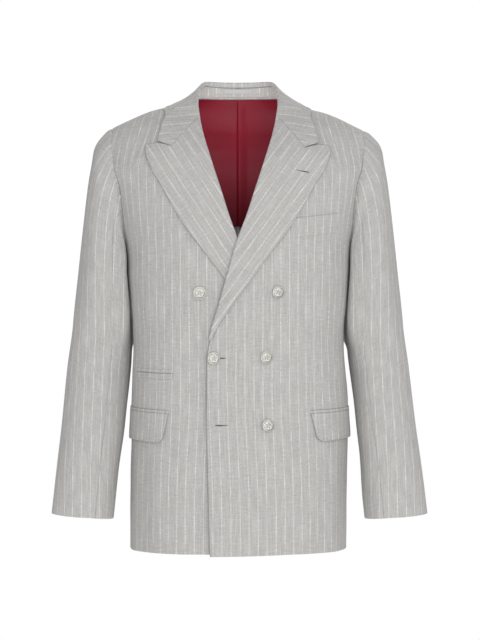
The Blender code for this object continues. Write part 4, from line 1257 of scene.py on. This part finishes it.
class Nodes:
    """Adds nodes to a tree: numbers and colours set a socket, other sockets are joined to it."""

    def __init__(self, tree):
        self.tree = tree

    def add(self, kind, inputs=(), **settings):
        node = self.tree.nodes.new(kind)
        for key, value in settings.items():
            setattr(node, key, value)
        for key, value in dict(inputs).items():
            if isinstance(value, bpy.types.NodeSocket):
                self.tree.links.new(value, node.inputs[key])
            else:
                node.inputs[key].default_value = value
        return node

    def math(self, operation, *values):
        return self.add("ShaderNodeMath", enumerate(values), operation=operation).outputs[0]

    def times(self, a, b):
        return self.math("MULTIPLY", a, b)

    def times_plus(self, a, b, c):
        """a b + c."""
        return self.math("MULTIPLY_ADD", a, b, c)

    def scaled(self, vector, by):
        node = self.add("ShaderNodeVectorMath", {0: vector, 1: by}, operation="MULTIPLY")
        return node.outputs[0]

    def uv(self, name):
        return self.add("ShaderNodeUVMap", uv_map=name).outputs[0]

    def place(self):
        return self.add("ShaderNodeTexCoord").outputs["Object"]

    def split(self, vector):
        return self.add("ShaderNodeSeparateXYZ", {0: vector}).outputs

    def centred(self, value):
        return self.math("SUBTRACT", value, 0.5)

    def surface(self, shader, colour, rough, height, strength, deep=0.0002):
        """Joins a colour, a roughness and a bump, deep at a height of 1, to the shader."""
        inputs = {"Height": height, "Strength": strength, "Distance": deep}
        normal = self.add("ShaderNodeBump", inputs).outputs[0]
        for socket, value in (("Base Color", colour), ("Roughness", rough), ("Normal", normal)):
            self.tree.links.new(value, shader.inputs[socket])

    def shared(self, name, maker, inputs):
        """Outputs of the shared group of that name, made the first time it is asked for."""
        tree = bpy.data.node_groups.get(name) or maker()
        return self.add("ShaderNodeGroup", inputs, node_tree=tree).outputs

    def noise(self, vector, scale, detail, rough):
        inputs = {"Vector": self.scaled(vector, scale), "Scale": 1.0}
        inputs.update({"Detail": detail, "Roughness": rough})
        return self.add("ShaderNodeTexNoise", inputs).outputs["Fac"]

    def ramp(self, value, low, high, to_low=0.0, to_high=1.0):
        """From to_low at low to to_high at high, as smooth_step goes."""
        inputs = {"From Min": low, "From Max": high, "To Min": to_low, "To Max": to_high}
        inputs["Value"] = value
        node = self.add("ShaderNodeMapRange", inputs, interpolation_type="SMOOTHSTEP")
        return node.outputs[0]

    def mix(self, factor, a, b, blend="MIX"):
        node = self.add("ShaderNodeMix", {"Factor": factor}, data_type="RGBA", blend_type=blend)
        for socket, value in (("A", a), ("B", b)):
            target = next(s for s in node.inputs if s.name == socket and s.type == "RGBA")
            if isinstance(value, bpy.types.NodeSocket):
                self.tree.links.new(value, target)
            else:
                target.default_value = value
        return next(s for s in node.outputs if s.type == "RGBA")


def group(name, inputs, outputs):
    """A new shader node group: (its nodes, its inputs, its output node).

    Each input has its default, or None where it is a vector. The outputs are numbers.
    """
    tree = bpy.data.node_groups.new(name, "ShaderNodeTree")
    for socket, value in inputs.items():
        kind = "NodeSocketVector" if value is None else "NodeSocketFloat"
        made = tree.interface.new_socket(socket, in_out="INPUT", socket_type=kind)
        if value is not None:
            made.default_value = value
    for socket in outputs:
        tree.interface.new_socket(socket, in_out="OUTPUT", socket_type="NodeSocketFloat")
    nodes = Nodes(tree)
    given = nodes.add("NodeGroupInput").outputs
    return nodes, given, nodes.add("NodeGroupOutput")


def weave_group():
    """Plain weave: sin of both ways in threads, slubs along both, and flecks of mixed fibre.

    Its outputs are a shade (1 where the cloth has its own colour) and a height from 0 to 1.
    """
    nodes, given, end = group(
        "Slubbed weave", {"Cloth": None, "Thread": 0.0006, "Slub": 0.2, "Fleck": 0.1},
        ("Shade", "Height"),
    )
    cloth_way = given["Cloth"]
    split = nodes.split(cloth_way)
    turn = nodes.math("DIVIDE", TURN, given["Thread"])
    wave_u = nodes.math("SINE", nodes.times(split[0], turn))
    wave_v = nodes.math("SINE", nodes.times(split[1], turn))
    weave = nodes.times_plus(nodes.times(wave_u, wave_v), 0.5, 0.5)
    weft = nodes.noise(cloth_way, (48, 560, 1), 3.0, 0.6)
    warp = nodes.noise(cloth_way, (430, 24, 1), 3.0, 0.6)
    mottle = nodes.noise(cloth_way, (420, 300, 1), 3.0, 0.6)
    fleck = nodes.noise(cloth_way, (1500, 1100, 1), 2.0, 0.6)
    cloud = nodes.noise(cloth_way, (30, 18, 1), 2.0, 0.5)
    warps = nodes.ramp(warp, 0.32, 0.68)
    slubs = nodes.times_plus(nodes.ramp(weft, 0.34, 0.68), 0.7, warps)
    slubs = nodes.math("SUBTRACT", slubs, 0.85)
    shade = nodes.times_plus(slubs, given["Slub"], 1.0)
    flecks = nodes.centred(nodes.ramp(fleck, 0.30, 0.70))
    mottles = nodes.centred(nodes.ramp(mottle, 0.30, 0.70))
    mixed = nodes.times_plus(mottles, 0.7, flecks)
    shade = nodes.times_plus(mixed, given["Fleck"], shade)
    shade = nodes.times_plus(nodes.centred(cloud), 0.10, shade)
    height = nodes.times_plus(slubs, 0.35, nodes.times(weave, 0.45))
    height = nodes.times_plus(flecks, 0.25, height)
    nodes.tree.links.new(shade, end.inputs["Shade"])
    nodes.tree.links.new(height, end.inputs["Height"])
    return nodes.tree


def stripe_group():
    """Chalk stripes: 1 within half a width of each multiple of the spacing, broken by noise."""
    nodes, given, end = group(
        "Chalk stripes",
        {"Cloth": None, "Spacing": STRIPES, "Width": 0.0013, "Break": 0.75}, ("Stripe",),
    )
    wobble = nodes.noise(given["Cloth"], (3, 70, 1), 2.0, 0.5)
    across = nodes.split(given["Cloth"])[0]
    u = nodes.times_plus(nodes.centred(wobble), 0.0006, across)
    away = nodes.math("PINGPONG", u, nodes.times(given["Spacing"], 0.5))
    outer = nodes.times(given["Width"], 0.72)
    inner = nodes.times(given["Width"], 0.25)
    mask = nodes.ramp(away, outer, inner)
    rough = nodes.noise(given["Cloth"], (700, 240, 1), 3.0, 0.65)
    faded = nodes.noise(given["Cloth"], (60, 42, 1), 2.0, 0.5)
    rough = nodes.times_plus(nodes.centred(faded), 0.75, rough)
    broken = nodes.ramp(rough, 0.30, 0.66)
    keep = nodes.math("SUBTRACT", 1.0, given["Break"])
    share = nodes.times_plus(broken, given["Break"], keep)
    nodes.tree.links.new(nodes.times(mask, share), end.inputs["Stripe"])
    return nodes.tree


def stitch_group():
    """Hand-picked edge stitches: 1 on short lengths along a line at an inset from the edge."""
    nodes, given, end = group(
        "Edge stitches", {"Edge": None, "Inset": 0.005, "Pitch": 0.006, "Length": 0.0016},
        ("Stitch", "Pull"),
    )
    way, distance, _ = nodes.split(given["Edge"])
    off = nodes.math("ABSOLUTE", nodes.math("SUBTRACT", distance, given["Inset"]))
    along = nodes.math("PINGPONG", way, nodes.times(given["Pitch"], 0.5))
    half = nodes.times(given["Length"], 0.5)
    near = nodes.ramp(off, 0.0006, 0.0002)
    short = nodes.ramp(along, nodes.times(half, 1.3), half)
    stitch = nodes.times(near, short)
    pull = nodes.ramp(off, 0.0022, 0.0)
    nodes.tree.links.new(stitch, end.inputs["Stitch"])
    nodes.tree.links.new(pull, end.inputs["Pull"])
    return nodes.tree


def new_material(name):
    material = bpy.data.materials.new(name)
    material.use_nodes = True
    nodes = Nodes(material.node_tree)
    return material, nodes, material.node_tree.nodes["Principled BSDF"]


def suiting_material(props):
    """Light slubbed cloth with chalk stripes, picked edges, painted shade along each stitched edge
    and a little wool sheen.
    """
    material, nodes, shader = new_material("suiting")
    cloth_way, edge_way = nodes.uv("cloth"), nodes.uv("edge")
    inputs = {"Thread": props.thread, "Slub": props.slub, "Fleck": props.fleck}
    inputs["Cloth"] = cloth_way
    weave = nodes.shared("Slubbed weave", weave_group, inputs)
    inputs = {"Cloth": cloth_way, "Spacing": props.stripe_spacing, "Width": props.stripe_width}
    stripe = nodes.shared("Chalk stripes", stripe_group, inputs)["Stripe"]
    stitches = nodes.shared("Edge stitches", stitch_group, {"Edge": edge_way})
    stitch = stitches["Stitch"]
    colour = nodes.mix(stripe, (*props.cloth_colour, 1), (*props.stripe_colour, 1))
    colour = nodes.mix(1.0, colour, weave["Shade"], "MULTIPLY")
    dark = nodes.times(stitch, 0.35)
    colour = nodes.mix(dark, colour, (0.16, 0.155, 0.15, 1))
    # Painted shade: within about a millimetre of each stitched edge the cloth is darkened towards
    # dark grey, standing in for the shade of the turned edge.
    painted_edge_shade = nodes.ramp(nodes.split(edge_way)[1], 0.0014, 0.0003, 0.0, 0.46)
    colour = nodes.mix(painted_edge_shade, colour, (0.13, 0.127, 0.122, 1))
    worn = nodes.times_plus(weave["Height"], -0.10, 0.93)
    height = nodes.times_plus(stripe, 0.15, weave["Height"])
    height = nodes.times_plus(stitches["Pull"], -0.5, height)
    height = nodes.times_plus(stitch, -1.2, height)
    nodes.surface(shader, colour, worn, height, 0.55, 0.00035)
    shader.inputs["Sheen Weight"].default_value = 0.12
    shader.inputs["Sheen Roughness"].default_value = 0.5
    shader.inputs["Specular IOR Level"].default_value = 0.25
    return material


def lining_material(props):
    """Burgundy satin: a fine twill line and a soft watered sheen."""
    material, nodes, shader = new_material("lining")
    cloth_way, edge_way = nodes.uv("cloth"), nodes.uv("edge")
    across, up, _ = nodes.split(cloth_way)
    lean = nodes.math("ADD", across, nodes.times(up, 1.6))
    twill = nodes.math("SINE", nodes.times(lean, TURN / 0.0007))
    water = nodes.noise(cloth_way, (26, 11, 1), 3.0, 0.55)
    grain = nodes.noise(cloth_way, (1400, 240, 1), 2.0, 0.6)
    shade = nodes.times_plus(nodes.centred(water), 0.35, 1.0)
    shade = nodes.times_plus(nodes.centred(grain), 0.22, shade)
    shade = nodes.times_plus(twill, 0.035, shade)
    colour = nodes.mix(1.0, (*props.colour, 1), shade, "MULTIPLY")
    inputs = {"Edge": edge_way, "Pitch": 0.004}
    stitches = nodes.shared("Edge stitches", stitch_group, inputs)
    dark = nodes.times(stitches["Stitch"], 0.4)
    colour = nodes.mix(dark, colour, (0.03, 0.004, 0.006, 1))
    height = nodes.times_plus(twill, 0.25, nodes.times(grain, 0.5))
    height = nodes.times_plus(stitches["Pull"], -0.8, height)
    nodes.surface(shader, colour, nodes.ramp(water, 0.2, 0.8, 0.40, 0.56), height, 0.30)
    shader.inputs["Specular IOR Level"].default_value = 0.20
    return material


def tape_material(props):
    """Pale woven tape: fine ribs across it and a slightly darker selvedge."""
    material, nodes, shader = new_material("tape")
    cloth_way, edge_way = nodes.uv("cloth"), nodes.uv("edge")
    ribs = nodes.math("SINE", nodes.times(nodes.split(cloth_way)[1], TURN / 0.0006))
    grain = nodes.noise(cloth_way, (900, 900, 1), 2.0, 0.6)
    shade = nodes.times_plus(ribs, 0.04, nodes.ramp(grain, 0.2, 0.8, 0.92, 1.06))
    colour = nodes.mix(1.0, (*props.tape_colour, 1), shade, "MULTIPLY")
    selvedge = nodes.ramp(nodes.split(edge_way)[1], 0.0011, 0.0004, 0.0, 0.35)
    colour = nodes.mix(selvedge, colour, (0.40, 0.37, 0.38, 1))
    height = nodes.times_plus(ribs, 0.5, nodes.times(grain, 0.4))
    nodes.surface(shader, colour, nodes.ramp(grain, 0.2, 0.8, 0.50, 0.66), height, 0.4)
    return material


def thread_material(props):
    """Buttonhole thread in the cloth's colour, a shade darker between the turns."""
    material, nodes, shader = new_material("thread")
    twist = nodes.noise(nodes.place(), (2600, 2600, 2600), 2.0, 0.6)
    wound = nodes.ramp(twist, 0.3, 0.7)
    colour = nodes.mix(wound, (*props.thread_dark, 1), (*props.thread_light, 1))
    nodes.surface(shader, colour, nodes.ramp(twist, 0.2, 0.8, 0.55, 0.75), twist, 0.5)
    return material


def slit_material(props):
    """A thin sheet painted dark, as the shade inside a buttonhole's opening."""
    material, nodes, shader = new_material("slit")
    grain = nodes.noise(nodes.uv("cloth"), (900, 2400, 1), 2.0, 0.6)
    deep = nodes.ramp(grain, 0.3, 0.7)
    colour = nodes.mix(deep, (*props.slit_dark, 1), (*props.slit_light, 1))
    nodes.tree.links.new(colour, shader.inputs["Base Color"])
    nodes.tree.links.new(nodes.ramp(grain, 0.3, 0.7, 0.85, 0.95), shader.inputs["Roughness"])
    return material


def button_plain_material(props):
    """The hidden button's metal, with soft mottling."""
    material, nodes, shader = new_material("button_plain")
    mottle = nodes.noise(nodes.place(), (420, 420, 420), 4.0, 0.6)
    rubbed = nodes.ramp(mottle, 0.3, 0.7)
    colour = nodes.mix(rubbed, (*props.hollow_colour, 1), (*props.metal_colour, 1))
    nodes.surface(shader, colour, nodes.ramp(mottle, 0.2, 0.8, 0.40, 0.55), mottle, 0.25)
    shader.inputs["Metallic"].default_value = 0.85
    return material


def button_material(props):
    """Soft silver, darker and rougher where its relief is sunk and rubbed on top, with painted
    light on one side of its face and painted shade under it and down its side.
    """
    material, nodes, shader = new_material("button")
    # The relief attribute holds the patina of the relief's sunk parts and its rubbed rim, and also
    # painted light on one side of the face and painted shade under the button and down its side.
    relief_and_painted_light = nodes.add("ShaderNodeAttribute", attribute_name="relief").outputs["Fac"]
    mottle = nodes.noise(nodes.place(), (420, 420, 420), 4.0, 0.6)
    fine = nodes.noise(nodes.place(), (3800, 3800, 3800), 2.0, 0.5)
    raised_and_painted_light = nodes.ramp(nodes.times_plus(mottle, 0.10, relief_and_painted_light), -0.06, 0.24)
    colour = nodes.mix(raised_and_painted_light, (*props.hollow_colour, 1), (*props.metal_colour, 1))
    rough = nodes.times_plus(raised_and_painted_light, -0.14, nodes.ramp(mottle, 0.2, 0.8, 0.50, 0.64))
    height = nodes.times_plus(mottle, 0.6, nodes.times(fine, 0.4))
    nodes.surface(shader, colour, rough, height, 0.25)
    shader.inputs["Metallic"].default_value = 0.60
    return material


def studio_material(props):
    """Pale seamless paper with a faint tooth, which fades to the world's white far out."""
    material, nodes, shader = new_material("studio_paper")
    tooth = nodes.noise(nodes.place(), (240, 240, 240), 3.0, 0.6)
    shade = nodes.ramp(tooth, 0.2, 0.8, 0.985, 1.0)
    level = nodes.scaled(nodes.place(), (1, 1, 0))
    out = nodes.add("ShaderNodeVectorMath", {0: level}, operation="LENGTH")
    far = nodes.ramp(out.outputs["Value"], 1.0, 3.8)
    colour = nodes.mix(1.0, (*props.paper_colour, 1), shade, "MULTIPLY")
    colour = nodes.mix(far, colour, (0, 0, 0, 1))
    seen = nodes.add("ShaderNodeLightPath").outputs["Is Camera Ray"]
    glow = nodes.times(far, nodes.ramp(seen, 0.0, 1.0, props.ambient, 1.02))
    nodes.tree.links.new(colour, shader.inputs["Base Color"])
    white = nodes.mix(glow, (0, 0, 0, 1), (1, 1, 1, 1))
    nodes.tree.links.new(white, shader.inputs["Emission Color"])
    shader.inputs["Emission Strength"].default_value = 1.0
    shader.inputs["Roughness"].default_value = 0.9
    shader.inputs["Specular IOR Level"].default_value = 0.0
    return material


MATERIALS = {
    "suiting": (suiting_material, "blazer_cloth"),
    "lining": (lining_material, "blazer_lining"),
    "tape": (tape_material, "blazer_lining"),
    "thread": (thread_material, "blazer_buttons"),
    "slit": (slit_material, "blazer_buttons"),
    "button": (button_material, "blazer_buttons"),
    "button_plain": (button_plain_material, "blazer_buttons"),
    "studio_paper": (studio_material, "blazer_stage"),
}


def finish(name):
    """The finish of that name, made from its own settings the first time it is asked for."""
    found = bpy.data.materials.get(f"blazer_{name}")
    if found:
        return found
    maker, props = MATERIALS[name]
    made = maker(getattr(bpy.context.scene, props))
    made.name = f"blazer_{name}"
    return made


def aimed(point, target):
    """The turn that looks from a point to a target."""
    return (Vector(target) - Vector(point)).to_track_quat("-Z", "Y").to_euler()


def soft_light(name, place, size, target, power, light_colour):
    """A square soft box that looks at the target and isn't seen itself."""
    data = bpy.data.lights.new(name, "AREA")
    data.shape, data.size, data.energy = "SQUARE", size, power
    data.color = light_colour
    light = bpy.data.objects.new(name, data)
    light.location = place
    light.rotation_euler = aimed(place, target)
    light.visible_camera = False
    bpy.context.scene.collection.objects.link(light)


def studio_world(props):
    """Plain white behind everything, which lights the garment more dimly than it looks."""
    world = bpy.data.worlds.new("studio")
    world.use_nodes = True
    nodes = Nodes(world.node_tree)
    seen = nodes.add("ShaderNodeLightPath").outputs["Is Camera Ray"]
    inputs = {"Value": seen, "To Min": props.ambient, "To Max": 1.02}
    glow = nodes.add("ShaderNodeMapRange", inputs)
    background = world.node_tree.nodes["Background"]
    background.inputs["Color"].default_value = (1.0, 1.0, 1.0, 1.0)
    nodes.tree.links.new(glow.outputs[0], background.inputs["Strength"])
    bpy.context.scene.world = world


def floor_disc():
    """A round floor: rings whose radius grows as the square of their share of the way out."""
    turn = np.linspace(0, 2 * np.pi, 96, endpoint=False)[None, :]
    radius = 0.0004 + 40.0 * np.linspace(0, 1, 40)[:, None] ** 2
    x, y = radius * np.cos(turn), radius * np.sin(turn)
    points = joined(x, y, np.full_like(x, FLOOR))
    faces = quads(closed(np.arange(x.size).reshape(x.shape)))[:, ::-1]
    mesh = bpy.data.meshes.new("studio_floor")
    mesh.from_pydata(points.reshape(-1, 3), [], faces)
    mesh.materials.append(finish("studio_paper"))
    floor = bpy.data.objects.new("studio_floor", mesh)
    bpy.context.scene.collection.objects.link(floor)


def studio(props):
    """The floor, the white world, the soft lights, and the camera in front."""
    scene = bpy.context.scene
    studio_world(props)
    floor_disc()
    for name, light in LIGHTS.items():
        soft_light(name, *light, getattr(props, f"{name}_power"), props.light_colour)
    data = bpy.data.cameras.new("camera")
    data.lens, data.sensor_width, data.sensor_fit = props.lens, 36.0, "AUTO"
    data.clip_start, data.clip_end = 0.05, 200.0
    camera = bpy.data.objects.new("camera", data)
    camera.location = CAMERA
    camera.rotation_euler = (np.pi / 2, 0.0, 0.0)
    scene.collection.objects.link(camera)
    scene.camera = camera
    scene.view_settings.view_transform = "Standard"


def colour(name, description, default):
    return FloatVectorProperty(
        name=name, description=description, default=default, subtype="COLOR", size=3, min=0, max=1
    )


def length(name, description, default):
    return FloatProperty(
        name=name, description=description, default=default, min=0, subtype="DISTANCE",
        unit="LENGTH",
    )


def share(name, description, default):
    return FloatProperty(
        name=name, description=description, default=default, subtype="FACTOR", min=0, max=2
    )


def power(name, description, default):
    return FloatProperty(name=name, description=description, default=default, unit="POWER")


class ClothSettings(PropertyGroup):
    """Settings of the suiting."""

    cloth_colour: colour("Ground", "Colour between the stripes", (0.520, 0.512, 0.497))
    stripe_colour: colour("Stripe", "Colour of the chalk stripes", (0.75, 0.74, 0.72))
    stripe_spacing: length("Stripe spacing", "From one stripe to the next", STRIPES)
    stripe_width: length("Stripe width", "Width of one stripe", 0.0013)
    thread: length("Thread", "Pitch of the plain weave", 0.0007)
    slub: share("Slub", "Strength of the thick places along the threads", 0.17)
    fleck: share("Fleck", "Strength of the mixed fibre colours", 0.18)


class LiningSettings(PropertyGroup):
    """Settings of the lining and the loop's tape."""

    colour: colour("Satin", "Colour of the lining", (0.205, 0.0060, 0.0195))
    tape_colour: colour("Tape", "Colour of the hanging loop", (0.54, 0.528, 0.535))


class ButtonSettings(PropertyGroup):
    """Settings of the buttons and buttonholes."""

    radius: length("Radius", "Radius of a button", 0.0098)
    height: length("Height", "How far a button stands off the cloth", 0.0042)
    relief: share("Relief", "Strength of the relief on a button's face", 1.0)
    metal_colour: colour("Metal", "Colour of the raised metal", (0.67, 0.66, 0.615))
    # Also the colour of the painted shade under and beside a button and on the darker side of its
    # face.
    hollow_colour: colour("Hollows", "Colour of the metal in the hollows", (0.17, 0.165, 0.15))
    thread_light: colour("Thread", "Colour of the buttonhole thread", (0.55, 0.54, 0.52))
    thread_dark: colour("Thread shade", "Colour between the turns of thread", (0.33, 0.32, 0.305))
    # The slit's two colours are painted shade: the dark inside a buttonhole's opening.
    slit_light: colour("Slit", "Colour inside a buttonhole", (0.045, 0.042, 0.041))
    slit_dark: colour("Slit shade", "Its darker places", (0.012, 0.011, 0.011))


class StageSettings(PropertyGroup):
    """Settings of the studio."""

    paper_colour: colour("Paper", "Colour of the floor", (0.86, 0.86, 0.855))
    light_colour: colour("Light", "Colour of the lights", (1.0, 1.0, 1.0))
    key_power: power("Key", "Power of the main light", 15.0)
    fill_power: power("Fill", "Power of the fill light", 1.5)
    front_power: power("Front", "Power of the light below the camera", 87.0)
    back_power: power("Back", "Power of the light behind", 40.0)
    neck_power: power("Neck", "Power of the small light inside the neck", 0.12)
    ambient: share("Ambient", "How brightly the white world lights the garment", 0.54)
    lens: FloatProperty(name="Lens", description="Focal length", default=133.0, unit="CAMERA")


class BLAZER_OT_fronts(Operator):
    """Make both fronts, with facings of the cloth and the lining behind them"""

    bl_idname = "blazer.fronts"
    bl_label = "Fronts"

    def execute(self, context):
        for side in SIDES:
            front(side)
        return {"FINISHED"}


class BLAZER_OT_backs(Operator):
    """Make both backs, which meet in the middle seam"""

    bl_idname = "blazer.backs"
    bl_label = "Backs"

    def execute(self, context):
        for side in SIDES:
            back(side)
        return {"FINISHED"}


class BLAZER_OT_sleeves(Operator):
    """Make the top and under sleeves"""

    bl_idname = "blazer.sleeves"
    bl_label = "Sleeves"

    def execute(self, context):
        for side in SIDES:
            sleeve(side)
        return {"FINISHED"}


class BLAZER_OT_lapels(Operator):
    """Make both peak lapels"""

    bl_idname = "blazer.lapels"
    bl_label = "Peak lapels"

    def execute(self, context):
        for side in SIDES:
            lapel(side)
        return {"FINISHED"}


class BLAZER_OT_collar(Operator):
    """Make the collar's fall and stand"""

    bl_idname = "blazer.collar"
    bl_label = "Collar"

    def execute(self, context):
        collar()
        return {"FINISHED"}


class BLAZER_OT_pockets(Operator):
    """Make the breast welt, the flaps, their jets and the ticket pocket"""

    bl_idname = "blazer.pockets"
    bl_label = "Pockets"

    def execute(self, context):
        pockets()
        return {"FINISHED"}


class BLAZER_OT_lining(Operator):
    """Make the half lining with its centre pleat"""

    bl_idname = "blazer.lining"
    bl_label = "Back lining"

    def execute(self, context):
        lining()
        return {"FINISHED"}


class BLAZER_OT_loop(Operator):
    """Make the hanging loop inside the collar"""

    bl_idname = "blazer.loop"
    bl_label = "Hanging loop"

    def execute(self, context):
        loop()
        return {"FINISHED"}


class BLAZER_OT_buttons(Operator):
    """Make the buttons that show, and finish the hidden one"""

    bl_idname = "blazer.buttons"
    bl_label = "Buttons"

    def execute(self, context):
        for name in BUTTONS:
            button(name, context.scene.blazer_buttons)
        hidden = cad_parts["button_hidden"]
        for place in hidden.material_slots:
            place.material = finish("button_plain")
        return {"FINISHED"}


class BLAZER_OT_buttonholes(Operator):
    """Work the buttonholes on the left front and lapel"""

    bl_idname = "blazer.buttonholes"
    bl_label = "Buttonholes"

    def execute(self, context):
        for name in BUTTONHOLES:
            buttonhole(name)
        return {"FINISHED"}


class BLAZER_OT_stage(Operator):
    """Set up the floor, the white world, the lights and the camera"""

    bl_idname = "blazer.stage"
    bl_label = "Studio"

    def execute(self, context):
        studio(context.scene.blazer_stage)
        return {"FINISHED"}


class BLAZER_PT_panel(Panel):
    """The settings and pieces of the blazer"""

    bl_idname = "BLAZER_PT_panel"
    bl_label = "Blazer"
    bl_space_type = "VIEW_3D"
    bl_region_type = "UI"
    bl_category = "Blazer"

    def draw(self, context):
        for key, group in SETTINGS.items():
            box = self.layout.box()
            for field in group.__annotations__:
                box.prop(getattr(context.scene, key), field)
        for operator in OPERATORS:
            self.layout.operator(operator.bl_idname)


SETTINGS = {
    "blazer_cloth": ClothSettings,
    "blazer_lining": LiningSettings,
    "blazer_buttons": ButtonSettings,
    "blazer_stage": StageSettings,
}
OPERATORS = (
    BLAZER_OT_fronts,
    BLAZER_OT_backs,
    BLAZER_OT_sleeves,
    BLAZER_OT_lapels,
    BLAZER_OT_collar,
    BLAZER_OT_pockets,
    BLAZER_OT_lining,
    BLAZER_OT_loop,
    BLAZER_OT_buttons,
    BLAZER_OT_buttonholes,
    BLAZER_OT_stage,
)
CLASSES = (*SETTINGS.values(), *OPERATORS, BLAZER_PT_panel)


def register():
    for item in CLASSES:
        bpy.utils.register_class(item)
    for key, group in SETTINGS.items():
        setattr(bpy.types.Scene, key, PointerProperty(type=group))


def unregister():
    for key in SETTINGS:
        delattr(bpy.types.Scene, key)
    for item in reversed(CLASSES):
        bpy.utils.unregister_class(item)


def main():
    """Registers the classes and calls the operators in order."""
    register()
    for operator in OPERATORS:
        getattr(bpy.ops.blazer, operator.bl_idname.split(".")[1])()


if __name__ == "__main__":
    main()
